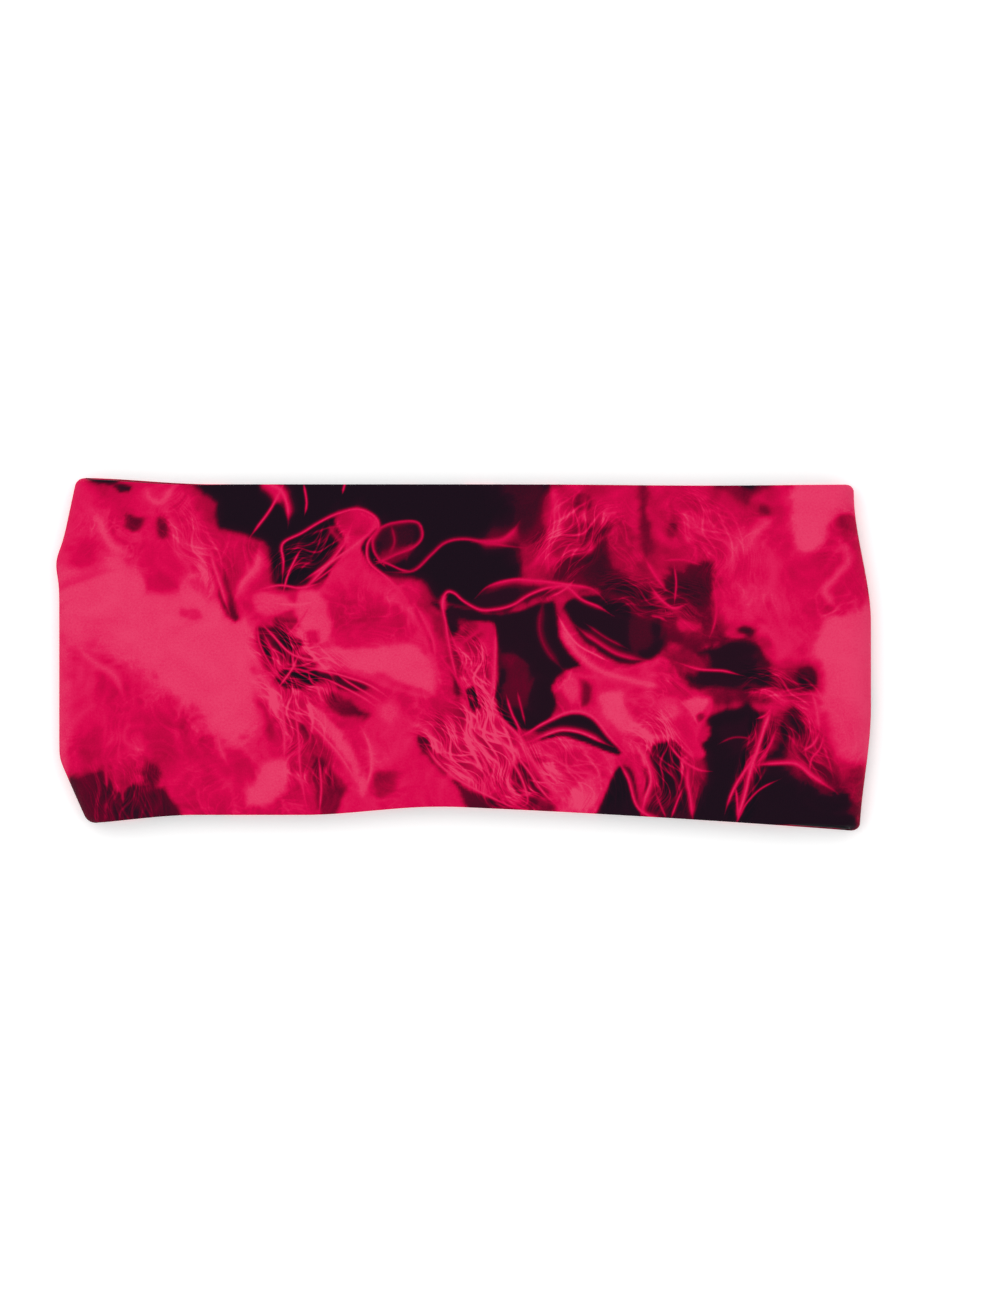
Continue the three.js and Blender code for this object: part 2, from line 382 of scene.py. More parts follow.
PATCHES = (
    # the left end
    Patch((-94, 46, -80, 48, -73, 44, -68, 32, -66, 20, -74, 18, -84, 24, -93, 32), 0.78, 4.0, 0.55),
    Patch((-118, 22, -105, 24, -102, 36, -105, 48, -118, 48), 0.84, 3.0, 0.6),
    Patch((-118, 0, -104, 2, -97, -4, -98, -16, -106, -24, -118, -26), 0.84, 3.0, 0.6),
    Patch((-80, -8, -70, -10, -66, -22, -58, -30, -55, -20, -58, -6, -64, 0), 0.86, 3.0, 0.7),
    Patch((-118, 22, -108, 28, -98, 30, -90, 26, -82, 22, -75, 22, -69, 18, -61, 11, -56, 4, -56, -12, -59,
        -22, -65, -26, -73, -22, -80, -15, -88, -8, -96, -3, -104, 1, -118, 3), 0.93, 3.2),
    Patch((-108, 10, -98, 9, -96, 4, -104, 2), 0.8, 3.0, 0.6),
    Patch((-102, -5, -94, -9, -86, -17, -79, -26, -86, -27, -96, -19, -102, -13), 0.56, 2.5, 0.7),
    Patch((-94, 31, -84, 31, -79, 24, -81, 18, -88, 18, -91, 23), 0.62, 1.4, 0.9),
    Patch((-111, 31, -104, 32, -100, 26, -106, 23, -112, 25), 0.62, 1.8, 0.8),
    Patch((-79, 13, -74, 13, -75, 10, -79, 11), 0.68, 0.9),
    # A lighter strip along the left end's fold, laid over the print's pink: painted highlight where the
    # cloth curves round at the end.
    Patch((-118, 4, -111, 2, -110.5, -30, -118, -34), 0.86, 1.4),
    Patch((-95, 40, -90, 39, -89.6, 36, -92, 34.4, -95, 36), 0.26, 1.0),
    Patch((-86, 39, -83.6, 38, -83, 33, -85, 32.5, -86, 35), 0.32, 0.8),
    Patch((-99, 38, -97, 36, -98, 33, -101, 34), 0.48, 1.2),
    Patch((-106, 52, -96, 52, -97, 48.4, -101, 48.2, -105, 49), 0.06, 0.8),
    Patch((-97, 48, -93, 47.6, -93.5, 45.4, -96.5, 45.8), 0.12, 0.7),
    Patch((-113, -36, -108, -34, -102, -32, -100, -35, -96, -38, -93, -35.5, -88, -36, -84, -37, -81, -42,
        -78, -46, -77, -53, -113, -53), 0.17, 1.2),
    Patch((-110, -36, -102, -33, -101.4, -46, -108, -48), 0.24, 1.2, 0.8),
    Patch((-90, -30, -86, -29, -84.5, -33, -86, -38, -90, -36), 0.32, 1.6),
    Patch((-62, -41, -58, -33, -53, -29, -49, -30, -50, -38, -54, -42, -60, -43), 0.93, 1.6),
    Patch((-67.6, 22, -65.6, 19, -63.6, 13, -63.4, 10, -65.6, 10, -68.8, 17), 0.24, 0.8),
    Patch((-70, 29, -68, 26, -66, 18, -68, 17, -70, 24), 0.42, 0.8, 0.8),
    Patch((-76, 50, -70, 50, -69, 38, -72, 36, -75, 42), 0.44, 1.8, 0.8),
    # the black over the centre
    Patch((-70.5, 54, -70, 42, -69, 36, -64, 34, -59, 32.8, -55.4, 30.6, -54, 26, -53.5, 19, -46, 18.6, -38,
        21, -28, 21, -20, 22, -12, 21, -8, 15, 0, 13, 8, 12, 14, 14, 16, 22, 17, 29, 20, 36, 22, 44, 23, 54),
        0.02, 1.5, ragged=0.35),
    Patch((9, 50, 23, 50, 22, 34, 18, 27, 13, 33, 12, 42), 0.18, 2.4, 0.8),
    Patch((-13, 18, -10, 18.6, -7.6, 15, -8, 11, -12, 11.5, -13.6, 14), 0.48, 1.6, 0.9),
    Patch((-9, 15, 0, 13, 8, 12, 16, 13, 25, 15, 26.4, 9, 28.6, 2.4, 33, -3, 28, -5, 25, -9, 26, -14, 22,
        -20, 14, -22, 9.5, -15, 9.4, 0, 8, 9, 2, 9, -4, 10), 0.05, 0.8, ragged=0.4),
    Patch((-9, 11, -6, 12, 0, 9, 2, 3, 0, -6, -4, -4, -7, 4), 0.42, 1.2, 0.85),
    Patch((-5.6, 13, -2.6, 13.6, -1.6, 8, -3.4, 5, -5, 8), 0.1, 0.7),
    Patch((-3.4, -5, -1, -5.6, -0.4, -10, -1.6, -12.5, -3, -9), 0.24, 0.7),
    Patch((0, 9, 4, 9.4, 5, 5, 1, 4), 0.3, 0.9, 0.7),
    Patch((10, 1, 16, 0, 19, -8, 17, -15, 11, -14, 9.6, -5), 0.27, 2.0, 0.85),
    Patch((2, 15, 8, 19, 18, 20, 28, 18.6, 22, 16, 12, 13.2, 5, 13.2), 0.1, 1.0, 0.9),
    # the upper right
    Patch((16, 32, 22, 36, 30, 30, 38, 31, 42, 34, 45, 29, 42, 21, 34, 17, 24, 20), 0.27, 2.0),
    Patch((22, 34, 30, 38, 37, 36, 38, 28, 30, 23, 22, 25), 0.3, 2.0, 0.65),
    Patch((36, 36, 44, 36, 45, 30, 42, 22, 38, 22, 37, 30), 0.14, 1.6, 0.8),
    Patch((33, 26, 39, 29, 44, 26, 43, 20, 36, 19), 0.14, 1.6, 0.85),
    Patch((17, 31, 24, 30, 27, 24, 20, 21, 16, 25), 0.5, 1.6, 0.8),
    Patch((31, 46, 35.5, 46, 36, 41.6, 32, 41), 0.34, 1.0),
    Patch((42, 37, 47, 36, 48, 23, 44, 22, 41, 27), 0.44, 1.0, 0.9),
    Patch((38, 20, 44, 23, 52, 20, 58, 14, 62, 12, 66, 12, 70, 18, 71, 27, 64, 27, 58, 24, 52, 15, 44, 14),
        0.18, 1.6),
    Patch((59, 25, 66, 26, 70, 22, 69, 12, 62, 11, 60, 17), 0.17, 1.6, 0.9),
    Patch((29, 15, 38, 17, 44, 20, 50, 19, 55, 12, 57.5, 6, 55, 0, 48, -2.6, 41, -1, 34.6, 3.4, 29, 10.6),
        0.06, 0.9, ragged=0.5),
    Patch((38, 20, 46, 22, 51, 18, 46, 14, 40, 14), 0.15, 1.6, 0.9),
    Patch((46, 14, 51, 14, 53, 5, 51, 1.6, 47, 2, 46, 8), 0.2, 1.6, 0.8),
    Patch((46, 26, 53, 25, 58, 17, 62, 12, 54, 10, 49, 16), 0.24, 1.6, 0.6),
    Patch((58, 50, 70, 50, 74, 44, 68, 41, 60, 44), 0.5, 2.0, 0.6),
    Patch((-24, 36, -14, 37, -12.6, 33, -16, 29, -22, 26, -25, 29), 0.17, 1.6, 0.8),
    Patch((-23, 30, -15, 31.4, -13.4, 30, -16, 26.6, -21, 24.4, -24, 26), 0.4, 1.0, 0.8),
    Patch((-49, 31, -44, 33, -40, 36, -36, 36, -36, 31, -44, 27, -48, 26), 0.13, 1.6, 0.8),
    Patch((56, 13, 66, 14, 73, 9, 73, 3, 64, 1, 58, 3), 0.28, 1.8),
    Patch((60.5, 10, 66.6, 9, 66, 7, 61, 7), 0.6, 0.9),
    Patch((57, -1, 62, 1, 70, 2.6, 77, 4.6, 83, 3.5, 85.5, -1, 90, -4, 98, -3, 99, -9, 92, -10, 86, -9, 82,
        -11, 74, -10.2, 66, -9.8, 60, -8.4), 0.07, 1.2),
    Patch((86.5, -4, 93, -4, 93.6, -9, 88, -9), 0.4, 1.3, 0.9),
    Patch((68, -9, 76, -10, 86, -11, 85, -15, 78, -14, 70, -15), 0.26, 1.4, 0.9),
    Patch((57, 1, 66, 1, 69, -3, 63, -6, 58, -4), 0.42, 1.2, 0.8),
    Patch((76, 7, 79, 8.4, 82, 7, 80, 5), 0.07, 0.9),
    Patch((66, 50, 72, 47, 77, 43.6, 80, 42, 82, 46, 92, 49, 92, 52), 0.3, 1.2),
    Patch((77, 52, 77, 48, 81, 46.6, 83, 52), 0.06, 0.8),
    Patch((83, 42, 86, 41, 85.6, 39, 83.2, 39.4), 0.36, 0.9),
    Patch((49, 50, 51.6, 50, 52, 38, 54.5, 30, 50.5, 27, 49, 36), 0.27, 1.3, 0.9),
    Patch((57, 37.6, 60.4, 37, 60, 33.8, 57.4, 33.6), 0.34, 1.0),
    Patch((54, 30, 62, 31, 68, 27, 60, 25), 0.5, 1.6, 0.8),
    # the right end
    Patch((74, 32, 80, 34, 88, 28, 94, 14, 96, 2, 90, -1, 84, 8, 76, 14), 0.82, 3.0, 0.6),
    Patch((97, 4, 103, 11, 118, 14, 118, -28, 108, -30, 103, -24, 100, -14, 100, -6, 98, 0), 0.95, 2.0),
    Patch((92, 46, 96, 54, 114, 54, 114, 40, 104, 38, 101, 31, 96, 28, 92, 32), 0.93, 1.2),
    Patch((104.6, 39.6, 109.5, 40, 112, 36, 110, 34.4, 106, 36), 0.42, 0.9),
    Patch((74, 15, 80, 12, 88, 8, 94, -1, 88, -2, 82, 8, 74, 10), 0.84, 2.6, 0.7),
    Patch((103, 30, 114, 26, 114, 14, 106, 12, 102, 18), 0.62, 1.6, 0.8),
    # the lower right black
    Patch((68, -17, 76, -14, 84, -15, 92, -17, 96, -22, 98, -28, 104, -34, 109, -38.5, 110.5, -44, 112, -55,
        70, -55, 60, -53, 66, -40, 68, -31, 64, -27, 68, -22), 0.03, 1.3),
    Patch((89, -17, 94, -16, 97, -24, 94, -30, 89, -28), 0.1, 1.6, 0.85),
    Patch((84, -15, 89, -15, 89.5, -24, 86, -29, 84, -24), 0.46, 1.3, 0.8),
    Patch((80, -30, 83, -25.5, 85.4, -28, 84, -31, 81.4, -33), 0.7, 0.8, 0.8),
    Patch((100, -14, 112, -14, 112, -29, 103, -28), 0.82, 2.5, 0.6),
    Patch((106, -33, 114, -31, 114, -50, 110, -47, 107, -38), 0.34, 1.8, 0.8),
    Patch((90, -25, 99, -21, 105, -30, 108, -38, 100, -39, 92, -33), 0.36, 2.0, 0.8),
    Patch((80, -24, 85, -22, 84, -33, 80, -38, 78, -34), 0.24, 1.8, 0.7),
    Patch((70, -20, 78, -18, 84, -21, 80, -27, 72, -25), 0.12, 2.2, 0.7),
    # the mass left of the centre
    Patch((-40, 19, -37, 24, -34, 28, -33.6, 33, -36, 38, -30, 41, -25, 39, -24, 36, -28.4, 31, -27, 26, -22,
        21.6, -17, 17.6, -14, 12.6, -11.6, 7.6, -9, 1, -7.2, -7, -10, -12, -20, -10, -30, -6, -42, -3, -46,
        2, -46, 12), 0.66, 0.6, 1.0, 0.18, 1.1, 0.5),
    Patch((-36, 39, -30, 41, -25, 38.6, -26, 35, -29.4, 33, -33, 34), 0.52, 1.2, 0.8),
    Patch((-33, 30, -29, 30, -26, 24, -30, 19, -36, 21), 0.72, 1.4, 0.8),
    Patch((-28, 24, -23, 20.4, -17, 15.6, -14.6, 12, -18, 12.6, -23, 16.6, -28, 18.6), 0.84, 1.0, 0.8),
    Patch((-37, 15, -28, 17, -19, 14, -14, 7, -20, 4.6, -33, 4.6, -38, 8), 0.6, 2.4, 0.85),
    Patch((-30, 14, -25, 16, -21, 13, -24, 9, -30, 9), 0.46, 2.4, 0.6),
    Patch((-45, 3, -34, 2, -26, 1.6, -15, 3.4, -10.6, 0, -7.5, -6, -9, -10.6, -14, -9, -22, -6.4, -32, -4.6,
        -43, -3), 0.93, 1.0),
    Patch((-59, 16, -56, 18, -50, 16.4, -46, 13, -52, 11.4, -58, 12), 0.86, 0.8),
    Patch((-47, 17, -42, 18, -38, 14, -37, 6, -42, 2, -47, 6), 0.9, 0.9),
    Patch((-44, 7, -41, 7.6, -40, 4, -43, 3), 0.62, 0.7),
    Patch((-58.4, 7.6, -55, 7.6, -50, 9, -46.6, 9, -49, 5, -46, 1, -51, -3.4, -55, -2, -57, 3), 0.26, 0.9),
    Patch((-57, 8, -53, 4, -50, 1, -54, -1, -57, 3), 0.1, 0.7, 0.8),
    Patch((-53, 10.6, -47, 10.4, -49, 6, -52, 7), 0.34, 0.7, 0.8),
    Patch((-56, -2, -50, 1, -43, 0, -42, -5, -52, -5), 0.3, 1.0, 0.8),
    Patch((-53, -6, -50, -3.4, -45, -3.4, -41, -5.4, -42, -8.6, -47, -9.4, -51, -8.4), 0.05, 0.6,
        ragged=0.4),
    Patch((-53, 5, -49, 6.6, -45, 4, -46, 1, -50, 1), 0.12, 0.9),
    Patch((-38, -12, -20, -12, -8, -22, 2, -34, 0, -46, -30, -48, -38, -40, -30, -26), 0.8, 3.0, 0.65),
    Patch((-41, -5, -34, -5.6, -27, -9.5, -31, -10.5, -38, -8), 0.17, 0.8),
    Patch((-40, -10, -34, -11, -26, -17, -34, -17.6, -39, -13), 0.26, 1.2),
    Patch((-43, -13, -35, -20, -30, -26, -26.4, -35, -28, -40, -29.8, -36, -34, -28.4, -42, -19), 0.93, 0.8),
    Patch((-34, -22, -27, -24, -26, -34, -29, -32), 0.66, 1.0, 0.8),
    Patch((-46, -18, -42, -21, -38, -27, -36, -34, -41, -32, -44, -26), 0.46, 1.1),
    Patch((-43, -29, -38, -31, -33, -38, -36, -46, -41, -44), 0.32, 1.1),
    Patch((-26, -34, -20, -33, -19, -38, -24, -40), 0.4, 1.5),
    Patch((-56, -12, -53, -11, -52, -22, -55, -24), 0.42, 1.1, 0.8),
    Patch((-60, -4, -57.5, -5, -55, -14, -58, -14), 0.5, 0.9, 0.8),
    # right of the centre
    Patch((29, -5, 36, -6, 46, -3, 56, -1, 60, -4, 64, -10, 70, -12, 70, -16, 66, -22, 68, -28, 62, -30, 58,
        -25, 52, -25, 49, -28, 44, -26, 39, -20, 34, -15.6, 31, -12), 0.68, 0.8, 1.0, 0.12, 1.5),
    Patch((57, -3, 62, -4, 64, -10, 70, -11, 66, -13, 60, -12), 0.46, 1.2, 0.6),
    Patch((37, -12, 44, -10, 46, -16, 51, -21, 58, -22, 57, -24, 50, -24, 42, -20), 0.93, 1.0),
    Patch((54, -12, 59, -12, 60, -17, 55, -18), 0.86, 1.4),
    Patch((62, -12.4, 69, -12.5, 66, -17, 63, -15), 0.93, 0.6),
    Patch((33, -8, 35.6, -9, 35, -14, 33, -14), 0.3, 0.8),
    Patch((27.4, -9, 29.8, -6, 32, -9, 31.4, -13, 28.4, -12), 0.86, 0.7),
    Patch((66, -16.4, 68, -16.8, 67, -18.6, 65.6, -18), 0.4, 0.5),
    Patch((15, -22, 22, -19, 30, -16.4, 36, -18, 44, -27.8, 37, -26.2, 28, -23, 21, -25), 0.03, 0.5,
        ragged=0.3),
    Patch((44, -31, 48, -35, 50, -46, 50, -54, 30, -54, 36.6, -44, 40, -36.6), 0.05, 0.6, ragged=0.4),
    Patch((15, -20.6, 20, -21, 22, -25, 20, -28.6, 16, -26), 0.7, 0.9, 0.7),
    Patch((52, -26, 56, -24, 60, -24, 62, -28, 61, -32, 65, -38, 63, -48, 51.8, -47, 50.4, -35), 0.15, 0.8),
    Patch((62, -29, 68, -29, 68, -36, 62, -37), 0.32, 1.2, 0.7),
    Patch((19, -25.6, 28, -23, 40, -27, 42, -31, 37, -44, 28, -45, 22, -38, 17, -30), 0.66, 0.6, 1.0, 0.16,
        1.0, 0.3),
    Patch((30, -37, 37, -34, 37.4, -42, 28, -43.6), 0.92, 1.6, 0.9),
    Patch((1, -9, 3.4, -10, 5, -15, 3, -17, 1, -13), 0.05, 0.6),
    Patch((5, -1, 7, 0, 7.2, -8, 5.4, -10, 4.6, -5), 0.3, 0.8),
    Patch((3, -16, 8, -16, 14, -23, 19, -28, 14, -30, 8, -26, 4, -21), 0.82, 1.2, 0.8),
    Patch((-13, -22, -9, -24, -4, -31, -5, -34, -10, -29, -13, -25), 0.32, 0.7),
    Patch((-8, -16, -5, -15, -5, -20, -8, -20), 0.5, 0.8),
    Patch((-3, -35, 4, -38.6, 15, -43, 20, -50, 6, -50, 0, -42), 0.22, 0.9),
    Patch((12, -33, 17, -30, 21, -36, 26, -43, 18, -44), 0.22, 1.1, 0.8),
    Patch((-24, -14, -19, -14, -19, -20, -22, -19), 0.84, 1.4),
)

WISPS = (
    Wisp((-50, 49, -55, 40, -60, 32.4), 0.82, 0.42),
    Wisp((-57, 48.6, -52, 46.6, -50, 43, -49.4, 37), 0.84, 0.7, 0.3),
    Wisp((-58, 49, -54, 46.4, -51, 42), 0.7, 1.7, 0.2, 0.9),
    Wisp((-45, 49, -44.3, 43, -45, 39), 0.76, 0.4),
    Wisp((-33, 49, -34, 45), 0.72, 0.36),
    Wisp((-51, 19, -50.4, 26, -50.4, 31.4, -45, 34.4, -38, 38.5, -32, 40.8, -28, 40.7, -24.5, 38.4, -24,
        35.4, -27, 31, -26.5, 25.5, -21, 20.8, -15.6, 15.6), 0.8, 0.32, 0.25, taper=0.12),
    Wisp((-51, 17, -49, 23, -46.6, 28, -45, 30), 0.82, 0.34),
    Wisp((-46, 17, -39, 24, -33.4, 31, -31, 37), 0.84, 0.42, 0.35),
    Wisp((-46, 20, -37, 26, -30, 31, -24.6, 36), 0.86, 0.38, -0.3),
    Wisp((-44, 19, -36, 24.6, -30, 29.6), 0.7, 0.3),
    Wisp((-38, 37, -36.6, 34, -33, 30), 0.6, 0.9, 0.3, 0.7),
    Wisp((-25.4, 25, -20, 27.6, -14, 30, -11.6, 33, -12.6, 37, -17, 37.5, -22, 36.5, -25, 34, -25.4, 29, -22,
        24), 0.6, 0.34, 0.4, taper=0.05),
    Wisp((-20.4, 37, -19.4, 32, -21.6, 27), 0.42, 0.6),
    Wisp((-25, 27, -18, 24, -14, 23.4), 0.66, 0.34),
    Wisp((-22, 23, -14, 23.6, -9, 28, -5, 31.5, 0, 32.6, 6, 31.8, 12, 30.4, 18, 30), 0.6, 0.4, 0.25),
    Wisp((3, 32, 10, 32, 13.4, 34, 15.4, 37), 0.66, 0.7, -0.4),
    Wisp((5, 33.6, 10, 33, 18, 31.4), 0.3, 1.6, 0.3, 0.8),
    Wisp((-1, -9, -3, -2, -5, 8, -6, 14, -4.8, 17.4, -2.6, 17.2, 0, 15, 4, 12.8, 9, 13.2, 14, 14.5, 18.5,
        16.9, 23.4, 18.5, 28.6, 19.4), 0.78, 0.36, 0.2, taper=0.08),
    Wisp((-5.4, 12, -5.6, 15.4, -4.4, 16.6), 0.9, 0.8, 0.0, 0.7),
    Wisp((3, 16, 7, 19.6, 14, 21.2, 22, 20.5, 30, 19.6, 36, 18.6, 40, 15), 0.74, 0.4, -0.4),
    Wisp((5, 17, 11, 20, 20, 20), 0.36, 1.0, 0.1, 0.6),
    Wisp((22, 16.4, 28, 19.4, 33, 15.4, 38, 13.4, 42, 11), 0.74, 0.36, -0.3),
    Wisp((24, 16, 28, 18, 31, 21), 0.8, 0.34),
    Wisp((22.6, 16, 21.4, 8, 23.6, 1, 28, -4.6), 0.34, 0.8, 0.2),
    Wisp((27, 9.4, 29.4, 4.4, 33, -0.4, 38, -4.4, 46, -7, 56, -9), 0.92, 1.0, -0.1, taper=0.12),
    Wisp((26.4, 11, 29.6, 5.6, 34, 1.6, 41, -2), 0.98, 0.34, taper=0.15),
    Wisp((31, 8.4, 36, 4.6, 43, 0.4, 52, -1.6), 0.62, 0.6, 0.3),
    Wisp((34, 9, 40, 5, 46, 2), 0.4, 0.5),
    Wisp((8.6, 9, 8.8, 2, 8.6, -6, 7.6, -16), 0.84, 0.42, -0.3),
    Wisp((7.4, 9, 6, 4, 4, -3, 5.4, -9, 7.4, -15), 0.66, 1.0, 0.2),
    Wisp((-2, 2, 2, 5, 7, 9), 0.62, 0.5, 0.4),
    Wisp((-4.6, 8, -2, 2, 1, -4, 4, -10, 6, -16), 0.76, 0.36),
    Wisp((-9, 4, -6, -1, -2, -6, 1, -12, 2, -20), 0.68, 0.36),
    Wisp((6, -12, 11, -18, 16, -23, 19, -29, 24, -36, 31, -43), 0.86, 0.5, -0.4),
    Wisp((12, -11, 14, -17, 17, -23), 0.76, 0.34),
    Wisp((15, -10, 16, -14, 17.4, -20), 0.56, 0.32),
    Wisp((13, -24, 18, -21.8, 24, -18.3, 30, -15.7, 36, -17.2, 42, -24, 47, -30), 0.86, 0.4, -0.2),
    Wisp((18, -24.6, 22, -23, 28, -21, 34, -22, 42, -26), 0.88, 0.4, 0.5),
    Wisp((-12, -23, -7, -30, 0, -36, 8, -40, 16, -43), 0.88, 0.42),
    Wisp((-8, -22, -4, -29, 2, -34, 6, -38), 0.86, 0.36),
    Wisp((2, -18, 3, -24, 6, -30, 8, -36), 0.86, 0.34),
    Wisp((8, -18, 12, -27, 16, -34, 18, -41, 15, -42.4), 0.86, 0.4),
    Wisp((12, -24, 17, -31, 22, -38, 27, -43), 0.86, 0.36),
    Wisp((20, -26, 28, -31, 34, -35, 38, -36), 0.84, 0.34),
    Wisp((20, -30, 26, -35, 30, -41), 0.84, 0.34),
    Wisp((-58, 9.4, -57, 3, -54, -3, -50, -8), 0.72, 0.34),
    Wisp((-57.6, 10, -53, 5, -48, 0, -40, -2, -32, -5), 0.86, 0.36),
    Wisp((-57, 8, -54, 2, -52, -3, -46, -4, -38, -7), 0.7, 0.32),
    Wisp((-52, -9, -48.6, -4, -46.6, 0), 0.86, 0.36),
    Wisp((-49, 6, -46, 9.6, -43, 14), 0.8, 0.34),
    Wisp((-53, 14.6, -47, 14, -42, 15), 0.98, 0.36),
    Wisp((-58, 18, -52, 19.6, -46, 18.6, -40, 20), 0.8, 0.36),
    Wisp((-46, -3, -38, -4.6, -28, -8, -20, -13), 0.86, 0.34),
    Wisp((-40, -6, -32, -10, -24, -15), 0.84, 0.32),
    Wisp((-36, -5, -28, -10.6, -22, -14), 0.8, 0.32),
    Wisp((-44, -4, -42, -8, -36, -9), 0.66, 0.3),
    Wisp((-29, -20, -26, -26, -25.6, -32, -28, -39), 0.93, 0.4, 0.4),
    Wisp((-45, -17, -40, -22, -34, -29, -29.4, -36), 0.9, 0.36, -0.3),
    Wisp((-48, -12, -46, -22, -46, -32, -44, -44), 0.8, 0.36),
    Wisp((-52, -12, -50, -20, -50, -30), 0.85, 0.5),
    Wisp((-41, -28, -40, -36, -40.6, -45), 0.8, 0.36),
    Wisp((-8, -2, -8.6, 4, -11, 10, -14, 15), 0.8, 0.36, -0.4),
    Wisp((60, -2.3, 67, -4, 73, -4.6, 79, -6), 0.78, 0.42, taper=0.3),
    Wisp((86.4, -15, 84, -22, 81, -30, 79, -38, 76.4, -47.4), 0.88, 0.62, -0.2, taper=0.1),
    Wisp((83, -26, 78.4, -33, 75, -39, 73, -45), 0.82, 0.5),
    Wisp((80, -31, 86, -30.6, 93, -30.4, 98, -34, 104.4, -38.6), 0.82, 0.5, 0.3),
    Wisp((76, -48, 79, -42, 83, -38, 89, -34.6), 0.64, 0.32),
    Wisp((76, -37, 76.5, -42, 77, -47), 0.75, 0.36),
    Wisp((95, -27, 98, -25, 99.6, -22), 0.82, 0.42),
    Wisp((97, -33, 97.6, -29, 100, -26, 101, -22), 0.75, 0.32),
    Wisp((88, -21, 85, -27, 81, -31), 0.72, 0.4),
    Wisp((71, -25, 76, -23, 82, -23.6), 0.4, 0.3),
    Wisp((82, -18, 85, -16.6, 86.4, -14), 0.75, 0.34),
    Wisp((99.6, -22, 98.4, -14, 97, -10), 0.85, 0.5),
    Wisp((70, 21, 71.2, 12, 69.2, 5), 0.66, 0.4),
    Wisp((52.4, 19.6, 55, 16, 59, 13.3, 63, 14.6), 0.74, 0.36, -0.4),
    Wisp((59.4, 26, 59.8, 20, 59.2, 14), 0.66, 0.3),
    Wisp((52, 11, 55, 10.6, 57, 9.6), 0.62, 0.36),
    Wisp((56, 26.6, 62, 27, 67, 25.6), 0.66, 0.34),
    Wisp((51, 27, 54, 22, 57, 18), 0.7, 0.5, 0.3),
    Wisp((46, -23, 50.4, -29, 52.4, -35, 51, -40, 49.4, -45), 0.9, 0.5, 0.5),
    Wisp((42, -28, 46, -35, 49, -43, 56, -46.4, 60, -47), 0.8, 0.4, 0.4),
    Wisp((57, -24, 61, -29, 66, -32, 70, -32.6), 0.8, 0.4),
    Wisp((63.6, -30, 63, -35, 64, -40, 64.6, -47), 0.78, 0.7),
    Wisp((62, -37, 58, -46), 0.72, 0.36),
    Wisp((54, -38, 57, -46), 0.55, 0.34),
    Wisp((60, -12, 64, -16, 66, -20), 0.9, 0.4),
    Wisp((79, 37, 76, 29, 75, 21), 0.82, 1.2, -0.3),
    Wisp((88, 39, 82, 34, 78, 27), 0.87, 1.2, -0.3),
    Wisp((86, 29, 87, 22, 84, 14), 0.8, 1.1, 0.3),
    Wisp((105, 33, 108, 27, 104, 22, 101, 18, 106, 12), 0.88, 1.2),
    Wisp((24, 50, 25.6, 42, 26, 36, 22, 28, 17, 24), 0.74, 1.2, 0.4),
    Wisp((-57, 30.6, -58, 25, -62, 20, -64, 15.6), 0.92, 1.0, 0.3),
    Wisp((-71, 30, -69, 22, -66, 12), 0.86, 0.5, 0.4),
    Wisp((-107, 43, -102, 37, -99, 31, -92, 27), 0.93, 1.2, 0.2),
    Wisp((-89, 48, -88, 44, -84.6, 43, -81, 48), 0.9, 1.1),
    Wisp((-76, 34, -73, 26, -72, 18), 0.9, 1.2),
    Wisp((-110, 4, -104, -2, -98, -6, -95, -13), 0.88, 1.1),
    Wisp((-107, -2, -107.6, -9), 0.82, 1.0),
    Wisp((-60, -3, -58, -9, -54, -13, -51, -19), 0.95, 1.5, 0.2),
    Wisp((-69, -20, -68, -26, -66, -30.6), 0.86, 0.9),
    Wisp((-100.4, -30, -100, -38), 0.6, 0.5),
    Wisp((-95.4, -36, -95.6, -42), 0.5, 0.4),
)

TANGLES = (
    Tangle((-2, -8, 6, -20, 14, -30, 26, -42), 9.0, 0.75, 1.3),
    Tangle((16, -23, 26, -28, 36, -36, 42, -46), 8.0, 0.22, 1.6),
    Tangle((-14, -16, -6, -24, 4, -33, 16, -43), 7.0, 0.6),
    Tangle((-4, 8, 2, 0, 5, -8, 8, -18), 6.0, 0.55),
    Tangle((-57, 10, -52, 2, -44, -4, -32, -8), 8.0, 0.62, 1.2),
    Tangle((-58, -2, -50, -12, -44, -24, -42, -40), 7.0, 0.45, 1.5),
    Tangle((-56, 22, -48, 26, -40, 31, -32, 37), 6.0, 0.45),
    Tangle((20, 24, 28, 30, 34, 38, 38, 46), 9.0, 0.42, 1.4),
    Tangle((36, 18, 46, 17, 58, 15, 70, 16), 8.0, 0.26),
    Tangle((-84, 44, -78, 34, -70, 26, -66, 16), 8.0, 0.22),
    Tangle((48, -16, 54, -24, 58, -34, 60, -46), 9.0, 0.45, 1.2),
    Tangle((86, -14, 82, -26, 79, -38, 76, -48), 5.0, 0.4),
    Tangle((-96, -28, -96, -34, -95, -42, -95, -50), 15.0, 0.2),
    Tangle((56, 46, 66, 38, 74, 28, 78, 16), 10.0, 0.2, 1.2),
    Tangle((76, -6, 84, -8, 92, -9, 100, -14), 6.0, 0.35),
    Tangle((88, -13, 93, -20, 98, -28, 104, -36), 7.0, 0.3),
)


